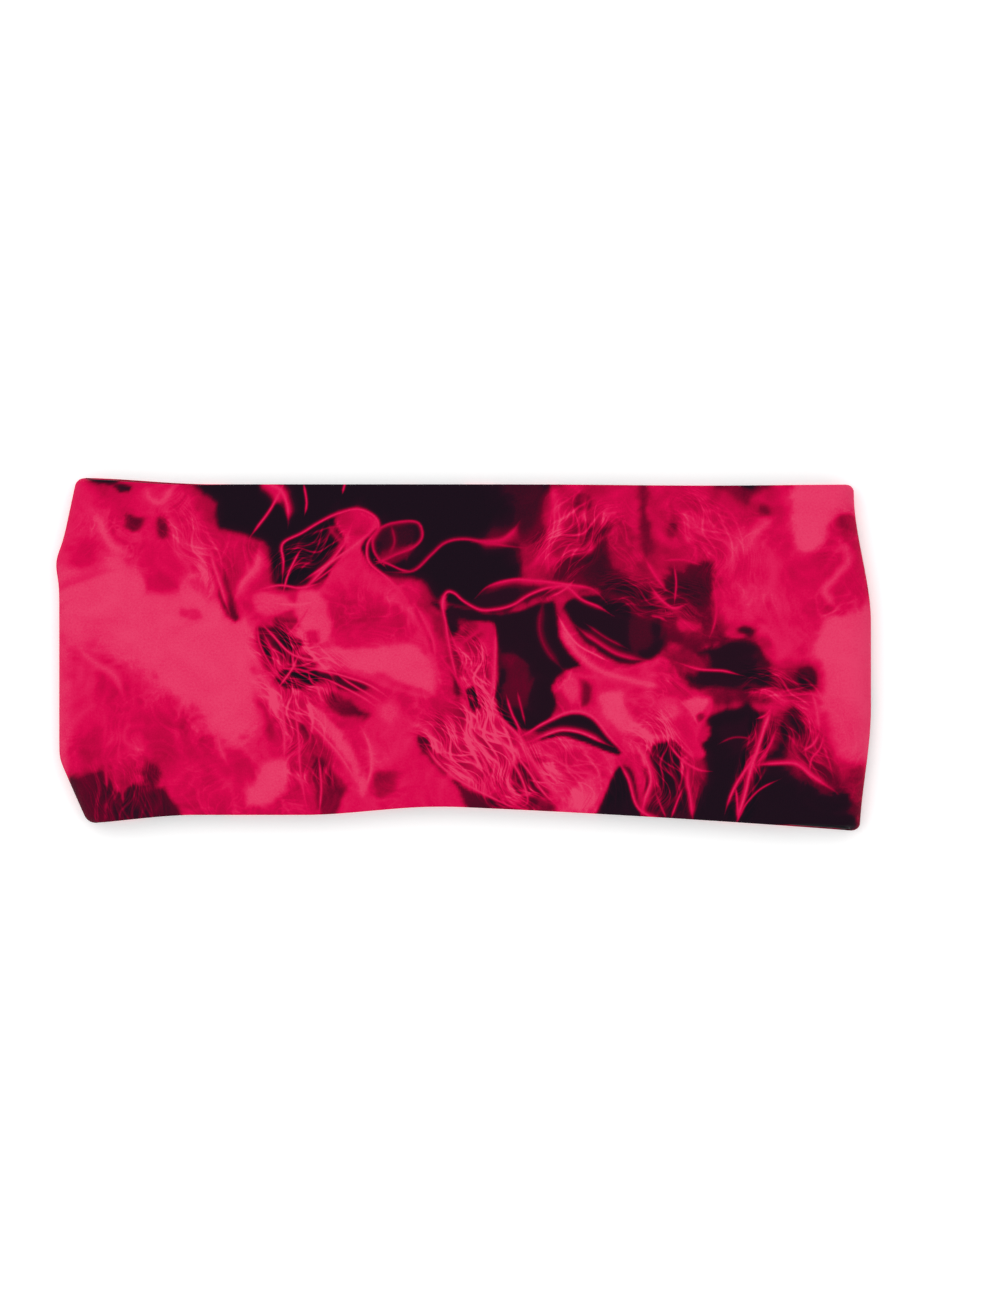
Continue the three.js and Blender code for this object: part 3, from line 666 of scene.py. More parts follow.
@dataclass
class SmokePrint:
    """The smoke print, worked out on points of the printed panel.

    Attributes:
        seed: Draws the noise.
        ground: The tone that the front's patches are laid on.
        drift: How far the noise pulls the shapes about.
        back_starts: How far from the front's centre the back's own smoke takes over.
        back_threads: How many threads of smoke the back has.
        back_step: Spacing of the points of a thread on the back.
        layers: The wisps and tangles that the material draws, in layers.
    """

    seed: int = 3
    ground: float = 0.6
    drift: float = 0.45
    back_starts: float = 108.0
    back_threads: int = 60
    back_step: float = 6.0
    layers: dict[str, list] = field(default_factory=dict)

    def __post_init__(self) -> None:
        """Makes the noises, and sorts the lines that the material draws into layers."""
        self.noise = [GradientNoise(self.seed + 5 * k) for k in range(5)]
        fine = [wisp for wisp in WISPS if wisp.width < 1.0]
        self.wide = [wisp for wisp in WISPS if wisp.width >= 1.0]
        tangles = list(TANGLES)
        self.add_back_threads(tangles)

        def wisp_reach(wisp: Wisp) -> tuple[Array, float]:
            """Returns a wisp's line and how far from it the wisp shows."""
            return rounded(wisp.path, False, 6), 2.4 * wisp.width * (1 + 3 * abs(wisp.skew))

        def tangle_reach(tangle: Tangle) -> tuple[Array, float]:
            """Returns a tangle's line and how far from it the tangle reaches."""
            return rounded(tangle.spine, False, 6), tangle.reach * max(1.0, tangle.fan)

        self.layers = {"strand": in_layers(fine, wisp_reach, 0.8)}
        self.layers["tangle"] = in_layers(tangles, tangle_reach, 0.0)

    def add_back_threads(self, tangles: list[Tangle]) -> None:
        """Draws the back's own threads of smoke, which turn as its noise does.

        Args:
            tangles: Takes every fourth one, as a bundle. The others are wide wisps.
        """
        rng = np.random.default_rng(self.seed)
        for k in range(self.back_threads):
            at = np.array([rng.uniform(122, 226) * (-1) ** k, rng.uniform(-44, 44)])
            lean = rng.uniform(-0.5, 0.5)
            path = [*at]
            for _ in range(5):
                turn = 2.6 * self.noise[1](at[:1] / 34, at[1:] / 34)[0] + lean
                at = at + self.back_step * np.array([math.cos(turn), math.sin(turn)])
                path += [*at]
            if k % 4 == 0:
                tangles.append(Tangle(tuple(path), rng.uniform(6, 10), 0.45))
                continue
            tone, width, skew = rng.uniform(0.7, 0.97), rng.uniform(0.8, 1.3), rng.uniform(-0.5, 0.5)
            self.wide.append(Wisp(tuple(path), tone, width, skew, 0.7))

    def pulled(self, x: Array, y: Array) -> tuple[Array, Array]:
        """Moves points about with the noise, so that the listed edges waver."""
        wide, wide_too, fine = self.noise[:3]
        by_x = 1.1 * wide.layered(x, y, 18.0, 2) + 0.12 * fine.layered(x, y, 4.0, 1)
        by_y = 1.1 * wide_too.layered(x, y, 18.0, 2)
        by_y += 0.12 * fine.layered(x + 50, y + 50, 4.0, 1)
        return x + self.drift * by_x, y + self.drift * by_y

    def tone(self, x: Array, y: Array) -> Array:
        """Works out the soft part of the print.

        Args:
            x: The points' places along the band, from the front's centre.
            y: The points' places across the band.

        Returns:
            The tone at each point, before the fine lines.
        """
        wide, wide_too, fine, cloud, cloud_too = self.noise
        x, y = self.pulled(x, y)
        tone = self.ground + 0.1 * cloud.layered(x, y, 14.0, 4)
        swirl_x = x + 14 * wide.layered(x, y, 34.0, 2)
        swirl_y = y + 14 * wide_too.layered(x, y, 34.0, 2)
        away = 0.5 + 0.75 * cloud_too.layered(swirl_x, 1.3 * swirl_y, 46.0, 5)
        back = smoothstep(self.back_starts, self.back_starts + 16, np.abs(x))
        tone += back * (np.clip(away, 0.02, 0.98) - tone)
        along_x = x + 7 * wide.layered(x, y, 20.0, 2)
        along_y = y + 7 * wide_too.layered(x, y, 20.0, 2)
        fray = 1.6 * fine.ridged(along_x, along_y, 11.0, 3) - 0.9 + 0.35 * cloud.layered(x, y, 7.0, 2)
        for patch in PATCHES:
            patch.lay(tone, x, y, fray)
        lit = smoothstep(0.1, 0.5, tone)
        swirl_x = x + 6 * cloud.layered(x, y, 22.0, 2)
        swirl_y = y + 6 * cloud_too.layered(x, y, 22.0, 2)
        tone += 0.1 * lit * (1.3 - lit * tone) * cloud_too.layered(swirl_x, swirl_y, 9.0, 4)
        ridge = fine.ridged(swirl_x, swirl_y, 9.0, 3)
        tone += 0.12 * lit * (1 - smoothstep(0.75, 0.95, tone)) * (ridge - 0.45)
        for wisp in self.wide:
            wisp.lay(tone, x, y)
        return np.clip(tone, 0, 1.05)

    def strands(self, x: Array, y: Array) -> list[Array]:
        """Returns, for each layer of wisps, the way to the nearest one, its hold and its tone."""
        x, y = self.pulled(x, y)
        found = []
        for layer in self.layers["strand"]:
            best = np.full(len(x), np.inf)
            line = np.zeros((len(x), 3))
            for wisp in layer:
                lean = 1 + 3 * abs(wisp.skew)
                path = rounded(wisp.path, False, 6)
                near = np.flatnonzero(near_points(x, y, path, 4.5 * wisp.width * lean))
                if not len(near):
                    continue
                distance, side, ends = wisp.measure(x[near], y[near])
                width = wisp.width * (0.35 + 0.65 * ends)
                leaning = side * (1 if wisp.skew >= 0 else -1) > 0
                off = distance / (width * np.where(leaning, lean, 1.0))
                closer = distance < best[near]
                at = near[closer]
                best[at] = distance[closer]
                hold = wisp.opacity * (0.25 + 0.75 * ends) * smoothstep(3.6, 2.4, off)
                line[at, 0] = (off * side)[closer]
                line[at, 1] = hold[closer]
                line[at, 2] = wisp.tone
            found.append(line)
        return found

    def tangles(self, x: Array, y: Array) -> list[Array]:
        """Returns, for each layer of tangles, the place along and across one, and its strength."""
        x, y = self.pulled(x, y)
        found = []
        for layer in self.layers["tangle"]:
            line = np.zeros((len(x), 3))
            for tangle in layer:
                flow = tangle.flow(x, y)
                line = np.where(flow[:, 2:] > 0, flow, line)
            found.append(line)
        return found


# --- Where the cloth lies ---


def hinge(value: Array, start: float, soft: float = 1.0) -> Array:
    """Stays at 0 up to start and then rises evenly, with a soft bend between."""
    return soft * np.logaddexp(0, (value - start) / soft)


def bump(value: Array, middle: float, width: float) -> Array:
    """Rises smoothly from 0 to 1 at the middle and falls again."""
    return np.exp(-(((value - middle) / width) ** 2))


@dataclass(frozen=True)
class Outline:
    """The relaxed band's outline from above: its ends lean in at the corners, its waist is narrower.

    Attributes:
        right_reach: How far the right end reaches.
        right_top: How much less it reaches at the top corner.
        right_bottom: How much less it reaches at the bottom corner.
        left_reach: How far the left end reaches.
        left_point: How far the blunt point near its top stands out.
        left_top: How steeply it leans in above that point.
        left_bottom: How steeply it leans in towards the bottom corner.
        top: The top edge's place across the band.
        top_rise: How far the top edge rises to the left corner.
        top_dip: How far it dips on the right.
        bottom: The bottom edge's place across the band at the waist.
        bottom_step: How far it falls just left of the waist.
        bottom_drop: How much further it falls to the left corner.
        bottom_slope: How steeply it falls on the right of the waist.
        bottom_bend: How fast that slope grows.
    """

    right_reach: float = 114.3
    right_top: float = 4.8
    right_bottom: float = 3.2
    left_reach: float = 113.4
    left_point: float = 0.9
    left_top: float = 0.21
    left_bottom: float = 0.43
    top: float = 47.9
    top_rise: float = 1.8
    top_dip: float = 0.35
    bottom: float = -42.6
    bottom_step: float = 2.3
    bottom_drop: float = 2.6
    bottom_slope: float = 0.043
    bottom_bend: float = 0.00015

    def right(self, y: Array) -> Array:
        """Returns how far the right end reaches."""
        lean = self.right_top * smoothstep(10, 47, y) + self.right_bottom * smoothstep(14, 52, -y)
        return self.right_reach - lean

    def left(self, y: Array) -> Array:
        """Returns how far the left end reaches."""
        lean = self.left_top * hinge(y, 26) + self.left_bottom * hinge(-y, 30.5)
        return self.left_reach + self.left_point * bump(y, 25, 5) - lean

    def high(self, x: Array) -> Array:
        """Returns the top edge's place across the band."""
        return self.top + self.top_rise * smoothstep(70, 108, -x) - self.top_dip * bump(x, 68, 30)

    def low(self, x: Array) -> Array:
        """Returns the bottom edge's place across the band."""
        right = hinge(x, -3)
        fall = self.bottom_slope * right + self.bottom_bend * right**2
        fall = fall + self.bottom_step * smoothstep(7, 45, -x)
        return self.bottom - fall - self.bottom_drop * smoothstep(75, 112, -x)


@dataclass(frozen=True)
class BandShape:
    """The laid-flat loop: leads a place on the cloth to a place in space.

    A place on the cloth is s, the length round the loop from the centre front, q, the distance
    across the band on an even 98 mm width, and the depth under the outer face.

    Attributes:
        length: Length of the band laid flat.
        width: Even width that q is measured on.
        fold: Radius of the outer face where the band folds back at its ends.
        corner: How softly the corners are rounded.
        sag: How far the upper wall sinks between the end folds.
        peek: How far the lower wall shows past the upper one at the right of the bottom edge.
        outline: The band's outline from above.
    """

    length: float = 228.6
    width: float = 98.0
    fold: float = 5.7
    corner: float = 2.2
    sag: float = 1.4
    peek: float = 1.1
    outline: Outline = Outline()

    @property
    def straight(self) -> float:
        """Half the length of the flat part of a wall."""
        return self.length / 2 - self.fold

    @property
    def half_round(self) -> float:
        """Length of the cloth from the centre front to the centre back."""
        return 2 * self.straight + math.pi * self.fold

    def scale(self, s: Array, q: Array) -> Array:
        """Returns how far the ends are drawn in at each place."""
        y = 49.3 * 2 * q / self.width
        end = np.where(s >= 0, self.outline.right(y), self.outline.left(y))
        near_edge = np.clip((np.abs(q) - self.width / 2 + self.corner) / self.corner, 0, 1)
        end = end - self.corner * (1 - np.sqrt(np.maximum(1 - near_edge**2, 0.0)))
        return end / (self.length / 2)

    def across(self, x: Array, q: Array, front: Array) -> Array:
        """Returns the place across the band between its two edges.

        Args:
            x: Places along the band.
            q: Even distances across it.
            front: 1 on the upper wall, 0 on the lower one.

        Returns:
            The true distances across.
        """
        low, high = self.outline.low(x), self.outline.high(x)
        lifted = smoothstep(86, 100, x) * smoothstep(116, 108, x)
        low = low + self.peek * lifted * front
        high = high - 0.5 * front * smoothstep(-60, -90, x) * smoothstep(-112, -104, x)
        return low + (high - low) * (q / self.width + 0.5)

    def lies(self, s: Array, q: Array, depth: Array) -> Array:
        """Leads places on the cloth to points in space, one a row, in millimetres."""
        s, q, depth = (np.asarray(a, float).ravel() for a in np.broadcast_arrays(s, q, depth))
        u = np.abs(s)
        turn = np.clip((u - self.straight) / self.fold, 0, math.pi)
        past = np.maximum(u - self.straight - math.pi * self.fold, 0)
        x = np.minimum(u, self.straight) + (self.fold - depth) * np.sin(turn) - past
        z = self.fold + (self.fold - depth) * np.cos(turn)
        x = x * np.sign(s) * self.scale(s, q)
        front = smoothstep(self.fold - 1, 2 * self.fold - 2.4, z)
        y = self.across(x, q, front)
        middle = smoothstep(0, 40, self.straight + 2 - np.abs(x))
        swell = 0.55 + 0.45 * (1 - (y / 50) ** 2)
        ripple = 0.22 * np.sin(x / 17 + y / 31) + 0.12 * np.sin(y / 9 - x / 41)
        z = z - front * (self.sag * middle * swell + middle * ripple * 0.6)
        return np.stack([x, y, z], 1)


@dataclass(frozen=True)
class Wall:
    """The layers of one wall, as depths under its outer face."""

    knit: float = 0.45
    turn_in: float = 6.0
    inset: float = 0.4
    outer_turn: float = 0.55
    lining_turn: float = 1.15
    tape: float = 1.68
    tape_thick: float = 0.16
    lining_edge: float = 1.95
    lining_middle: float = 2.2

    def lining_depth(self, q: Array) -> Array:
        """Returns how deep the lining's hidden face lies, less deep at its edges."""
        share = smoothstep(30, 41, np.abs(q))
        return self.lining_middle + (self.lining_edge - self.lining_middle) * share


# --- Meshes ---


def grid_corners(rows: int, columns: int) -> Array:
    """Returns the number of the first point of each cell of a grid of points."""
    i, j = np.meshgrid(np.arange(rows - 1), np.arange(columns - 1), indexing="ij")
    return (i * columns + j).ravel()


@dataclass
class ShellMesh:
    """A closed thin shell made of two skins of cloth, each a grid of places on the cloth.

    Attributes:
        s: The stations round the loop.
        face_rows: The distances across and depths of the face skin's rows.
        back_rows: The same of the reverse skin, from the same edge to the same edge.
        inward: Whether the face skin looks into the loop.
    """

    s: Array
    face_rows: Array
    back_rows: Array
    inward: bool = False

    def places(self, rows: Array, dip: Array) -> Array:
        """Returns the place on the cloth of every point of one skin, station by station."""
        s = np.repeat(self.s, len(rows))
        q, depth = np.tile(rows, (len(self.s), 1)).T
        return np.stack([s, q, depth + np.repeat(dip, len(rows))], 1)

    def faces(self) -> list[tuple[int, ...]]:
        """Returns the faces of both skins, of the two long rims and of the two short ends."""
        n, m, k = len(self.s), len(self.face_rows), len(self.back_rows)
        base = n * m
        at = grid_corners(n, m)
        quads = [np.stack([at, at + m, at + m + 1, at + 1], 1)]
        at = base + grid_corners(n, k)
        quads.append(np.stack([at, at + 1, at + k + 1, at + k], 1))
        i = np.arange(n - 1)
        low, under = i * m, base + i * k
        quads.append(np.stack([low + m, low, under, under + k], 1))
        high, over = low + m - 1, under + k - 1
        quads.append(np.stack([high, high + m, over + k, over], 1))
        faces = [tuple(q) for q in np.vstack(quads).tolist()]
        faces += self.end_strip(0, base, False)
        faces += self.end_strip((n - 1) * m, base + (n - 1) * k, True)
        return [face[::-1] for face in faces] if self.inward else faces

    def end_strip(self, first: int, under: int, turned: bool) -> list[tuple[int, ...]]:
        """Joins the two skins' rows at one short end, though their counts differ."""
        m, k = len(self.face_rows), len(self.back_rows)
        j = i = 0
        found = []
        while j < m - 1 or i < k - 1:
            if i == k - 1 or (j < m - 1 and (j + 1) / (m - 1) <= (i + 1) / (k - 1)):
                found.append((first + j, first + j + 1, under + i))
                j += 1
            else:
                found.append((under + i + 1, under + i, first + j))
                i += 1
        return [face[::-1] for face in found] if turned else found


def make_piece(name: str, points: Array, faces: list, smooth: bool = True) -> Piece:
    """Makes a mesh object at the origin.

    Args:
        name: The piece's name.
        points: Its points in millimetres.
        faces: Its faces, as tuples of point numbers.
        smooth: Whether it is shaded smooth.

    Returns:
        The new object, linked to the scene.
    """
    mesh = bpy.data.meshes.new(name)
    mesh.from_pydata((points * MM).tolist(), [], faces)
    mesh.polygons.foreach_set("use_smooth", [smooth] * len(mesh.polygons))
    mesh.update()
    piece = bpy.data.objects.new(name, mesh)
    bpy.context.scene.collection.objects.link(piece)
    return piece


def write_floats(piece: Piece, name: str, values: Array) -> None:
    """Stores a number for each point of a piece."""
    layer = piece.data.attributes.new(name, "FLOAT", "POINT")
    layer.data.foreach_set("value", values.astype(np.float32))


def read_ints(items: bpy.types.bpy_prop_collection, name: str) -> Array:
    """Reads one whole number from each item of a mesh's list."""
    values = np.empty(len(items), int)
    items.foreach_get(name, values)
    return values


def write_vectors(piece: Piece, name: str, values: Array) -> None:
    """Stores three numbers for each point of a piece."""
    layer = piece.data.attributes.new(name, "FLOAT_VECTOR", "POINT")
    layer.data.foreach_set("vector", values.astype(np.float32).ravel())


def hem_rows(edge: float, turn_in: float, leaf: float, turned: float, steps: tuple) -> Array:
    """Lays out the rows of one skin: turn-in, fold, leaf, fold and turn-in.

    Args:
        edge: Distance across of the fold's outermost line on this skin.
        turn_in: How far the turned-in edge reaches back.
        leaf: Depth of the leaf's skin.
        turned: Depth of the turned-in edge's skin.
        steps: Steps in a turn-in, a fold and the leaf.

    Returns:
        The distance across and the depth of each row.
    """
    radius = abs(turned - leaf) / 2
    inner = edge - radius
    hem = np.stack([np.linspace(edge - turn_in, inner, steps[0] + 1), np.full(steps[0] + 1, turned)], 1)
    angle = np.linspace(0, math.pi, steps[1] + 1)[1:-1]
    middle, half = (turned + leaf) / 2, (turned - leaf) / 2
    bend = np.stack([inner + radius * np.sin(angle), middle + half * np.cos(angle)], 1)
    side = np.vstack([hem, bend])
    flat = np.stack([np.linspace(-inner, inner, steps[2] + 1), np.full(steps[2] + 1, leaf)], 1)
    return np.vstack([side * (-1, 1), flat, side[::-1]])


# --- Finishes ---


def linear(red: float, green: float, blue: float) -> tuple[float, float, float, float]:
    """Turns a display colour from 0 to 255 into the linear colour that sockets take."""
    out = []
    for value in (red, green, blue):
        share = value / 255
        out.append(share / 12.92 if share <= 0.04045 else ((share + 0.055) / 1.055) ** 2.4)
    return (*out, 1.0)


class Graph:
    """Adds nodes to a shader tree and joins them."""

    def __init__(self, tree: bpy.types.NodeTree) -> None:
        """Takes the tree to add to."""
        self.tree = tree

    def join(self, socket: Socket, value: Socket | float | tuple | bpy.types.ID) -> None:
        """Links an output to an input, or sets the input to a plain value."""
        if isinstance(value, Socket):
            self.tree.links.new(value, socket)
        else:
            socket.default_value = value

    def node(self, kind: str, inputs: dict | None = None, **settings) -> bpy.types.Node:
        """Adds a node.

        Args:
            kind: The node's type.
            inputs: Values or outputs for its inputs, by name or number.
            **settings: The node's own settings.

        Returns:
            The new node.
        """
        made = self.tree.nodes.new(kind)
        for key, value in settings.items():
            setattr(made, key, value)
        for key, value in (inputs or {}).items():
            self.join(made.inputs[key], value)
        return made

    def math(self, operation: str, *values: Socket | float, clamp: bool = False) -> Socket:
        """Adds a Math node and returns its output."""
        made = self.node("ShaderNodeMath", operation=operation, use_clamp=clamp)
        for k, value in enumerate(values):
            self.join(made.inputs[k], value)
        return made.outputs[0]

    def noise(self, vector: Socket, scale: float, detail: float = 2.0) -> Socket:
        """Adds a Noise Texture and returns its factor."""
        inputs = {"Vector": vector, "Scale": scale, "Detail": detail}
        return self.node("ShaderNodeTexNoise", inputs).outputs[0]

    def placed(self, group: bpy.types.NodeTree, inputs: dict) -> bpy.types.Node:
        """Adds one of the shared groups and fills its inputs."""
        made = self.node("ShaderNodeGroup", node_tree=group)
        for key, value in inputs.items():
            self.join(made.inputs[key], value)
        return made

    def read(self, name: str) -> bpy.types.Node:
        """Adds a node that reads one of the piece's attributes."""
        return self.node("ShaderNodeAttribute", attribute_name=name)


class Group(Enum):
    """The effects that several finishes, or one finish several times, draw on."""

    KNIT = "Knit surface"
    STRAND = "Fine strand"
    TANGLE = "Thread tangle"


def new_group(name: str, inputs: tuple, outputs: tuple) -> tuple[Graph, dict, dict]:
    """Starts a shader node group.

    Args:
        name: The group's name.
        inputs: Name, socket type and starting value of each input.
        outputs: Name and socket type of each output.

    Returns:
        The graph, the input sockets by name, and the output sockets by name.
    """
    tree = bpy.data.node_groups.new(name, "ShaderNodeTree")
    for title, kind, start in inputs:
        made = tree.interface.new_socket(name=title, in_out="INPUT", socket_type=kind)
        if start is not None:
            made.default_value = start
    for title, kind in outputs:
        tree.interface.new_socket(name=title, in_out="OUTPUT", socket_type=kind)
    graph = Graph(tree)
    taken = {s.name: s for s in graph.node("NodeGroupInput").outputs if s.name}
    given = {s.name: s for s in graph.node("NodeGroupOutput").inputs if s.name}
    return graph, taken, given


VALUE, VECTOR = "NodeSocketFloat", "NodeSocketVector"


def knit_group() -> bpy.types.NodeTree:
    """Makes the knit's surface: rows of small loops with a brushed fuzz over them."""
    inputs = (("Cloth", VECTOR, None), ("Loop", VALUE, 0.5), ("Fuzz", VALUE, 0.5))
    graph, taken, given = new_group(Group.KNIT.value, inputs, (("Height", VALUE), ("Speckle", VALUE)))
    place = graph.node("ShaderNodeSeparateXYZ", {0: taken["Cloth"]})
    wander = graph.noise(taken["Cloth"], 0.35, 2.0)
    column = graph.math("DIVIDE", place.outputs[0], taken["Loop"])
    column = graph.math("ADD", column, graph.math("MULTIPLY", wander, 1.5))
    side = graph.math("ABSOLUTE", graph.math("SUBTRACT", graph.math("FRACT", column), 0.5))
    row = graph.math("DIVIDE", place.outputs[1], taken["Loop"])
    row = graph.math("ADD", row, graph.math("MULTIPLY", side, 0.9))
    wave = graph.math("SINE", graph.math("MULTIPLY", row, 2 * math.pi))
    dome = graph.math("SUBTRACT", 1.0, graph.math("POWER", graph.math("MULTIPLY", side, 2.0), 2.0))
    loops = graph.math("MULTIPLY", dome, graph.math("MULTIPLY_ADD", wave, 0.3, 0.7))
    fuzz = graph.noise(taken["Cloth"], 2.6, 3.0)
    speck = graph.noise(taken["Cloth"], 1.7, 2.0)
    blend = graph.math("MULTIPLY", fuzz, taken["Fuzz"])
    even = graph.math("MULTIPLY", loops, graph.math("SUBTRACT", 1.0, taken["Fuzz"]))
    graph.join(given["Height"], graph.math("ADD", even, blend))
    mixed = graph.math("ADD", graph.math("MULTIPLY", speck, 0.6), graph.math("MULTIPLY", fuzz, 0.4))
    graph.join(given["Speckle"], graph.math("SUBTRACT", mixed, 0.5))
    return graph.tree


def strand_group() -> bpy.types.NodeTree:
    """Makes one layer of fine wisps from the way to the nearest one, its hold and its tone."""
    inputs = (("Tone", VALUE, 0.5), ("Strand", VECTOR, None))
    graph, taken, given = new_group(Group.STRAND.value, inputs, (("Tone", VALUE),))
    line = graph.node("ShaderNodeSeparateXYZ", {0: taken["Strand"]})
    off = graph.math("POWER", graph.math("ABSOLUTE", line.outputs[0]), 1.5)
    fall = graph.math("EXPONENT", graph.math("MULTIPLY", off, -1.0))
    cover = graph.math("MULTIPLY", fall, line.outputs[1])
    step = graph.math("SUBTRACT", line.outputs[2], taken["Tone"])
    graph.join(given["Tone"], graph.math("MULTIPLY_ADD", cover, step, taken["Tone"]))
    return graph.tree


def tangle_group() -> bpy.types.NodeTree:
    """Makes one layer of tangles: webs of thin bright threads, drawn out along the bundle."""
    inputs = (("Tone", VALUE, 0.5), ("Flow", VECTOR, None), ("Pitch", VALUE, 1.6))
    graph, taken, given = new_group(Group.TANGLE.value, inputs, (("Tone", VALUE),))
    flow = graph.node("ShaderNodeSeparateXYZ", {0: taken["Flow"]})
    place = graph.node("ShaderNodeCombineXYZ", {0: flow.outputs[0], 1: flow.outputs[1]}).outputs[0]
    sway = graph.math("SUBTRACT", graph.noise(place, 0.045, 1.0), 0.5)
    middle = graph.math("MULTIPLY_ADD", sway, 14.0, flow.outputs[1])
    bend = graph.math("SUBTRACT", graph.noise(place, 0.1, 1.0), 0.5)
    middle = graph.math("MULTIPLY_ADD", bend, 3.0, middle)
    threads = None
    for drawn_out, closeness, share, shift, slant in (
        (0.1, 0.5, 0.85, 3.0, 0.2), (0.11, 0.8, 0.65, 41.0, -0.28), (0.07, 1.3, 0.5, 77.0, 0.05)
    ):
        across = graph.math("MULTIPLY_ADD", flow.outputs[0], slant, middle)
        across = graph.math("DIVIDE", across, taken["Pitch"])
        along = graph.math("DIVIDE", flow.outputs[0], taken["Pitch"])
        inputs = {
            0: graph.math("MULTIPLY_ADD", along, drawn_out * closeness, shift),
            1: graph.math("MULTIPLY_ADD", across, closeness, shift),
        }
        where = graph.node("ShaderNodeCombineXYZ", inputs).outputs[0]
        web = graph.node("ShaderNodeTexVoronoi", {"Vector": where}, feature="DISTANCE_TO_EDGE")
        web.inputs["Scale"].default_value = 1.0
        thin = graph.math("MULTIPLY", web.outputs["Distance"], 8.0)
        ridge = graph.math("SUBTRACT", 1.0, thin, clamp=True)
        ridge = graph.math("MULTIPLY", graph.math("POWER", ridge, 1.6), share)
        spot = graph.node("ShaderNodeCombineXYZ", {0: flow.outputs[0], 1: across, 2: shift}).outputs[0]
        fade = graph.math("MULTIPLY_ADD", graph.noise(spot, 0.16, 1.0), 3.4, -1.0, clamp=True)
        ridge = graph.math("MULTIPLY", ridge, fade)
        threads = ridge if threads is None else graph.math("ADD", threads, ridge)
    threads = graph.math("SUBTRACT", threads, 0.2)
    graph.join(given["Tone"], graph.math("MULTIPLY_ADD", threads, flow.outputs[2], taken["Tone"]))
    return graph.tree


def group_tree(kind: Group) -> bpy.types.NodeTree:
    """Returns one of the shared groups, made the first time it is asked for."""
    makers = {Group.KNIT: knit_group, Group.STRAND: strand_group, Group.TANGLE: tangle_group}
    return bpy.data.node_groups.get(kind.value) or makers[kind]()


@dataclass(frozen=True)
class Finish:
    """What every finish shares: a name and the shader's own plain values."""

    name: str
    roughness: float
    sheen: float = 0.0
    lustre: float = 0.2

    def start(self) -> tuple[bpy.types.Material, Graph, bpy.types.Node]:
        """Returns a new material, its graph and its shader."""
        material = bpy.data.materials.new(self.name)
        material.use_nodes = True
        shader = material.node_tree.nodes["Principled BSDF"]
        shader.inputs["Roughness"].default_value = self.roughness
        shader.inputs["Sheen Weight"].default_value = self.sheen
        shader.inputs["Specular IOR Level"].default_value = self.lustre
        return material, Graph(material.node_tree), shader


    def tint(self, graph: Graph, shader: bpy.types.Node, value: Socket, stops: tuple) -> None:
        """Colours the shader by a value.

        Args:
            graph: The material's graph.
            shader: Its shader.
            value: The value that picks the colour.
            stops: Values and the display colours at them.
        """
        ramp = graph.node("ShaderNodeValToRGB", {0: value})
        elements = ramp.color_ramp.elements
        elements[0].position, elements[1].position = stops[0][0], stops[-1][0]
        for at, _ in stops[1:-1]:
            elements.new(at)
        for element, (_, colour) in zip(elements, stops):
            element.color = linear(*colour)
        graph.join(shader.inputs["Base Color"], ramp.outputs[0])

    def shades(self, colour: tuple, dark: float, light: float) -> tuple:
        """Returns the stops of a ramp from a darker to a lighter shade of a colour."""
        return (0.0, tuple(dark * c for c in colour)), (1.0, tuple(light * c for c in colour))

    def emboss(
        self, graph: Graph, shader: bpy.types.Node, height: Socket, strength: float, distance: float
    ) -> None:
        """Gives the shader a relief.

        Args:
            graph: The material's graph.
            shader: Its shader.
            height: The relief's height.
            strength: How strongly it shows.
            distance: Its depth in metres.
        """
        inputs = {"Height": height, "Strength": strength, "Distance": distance}
        graph.join(shader.inputs["Normal"], graph.node("ShaderNodeBump", inputs).outputs[0])


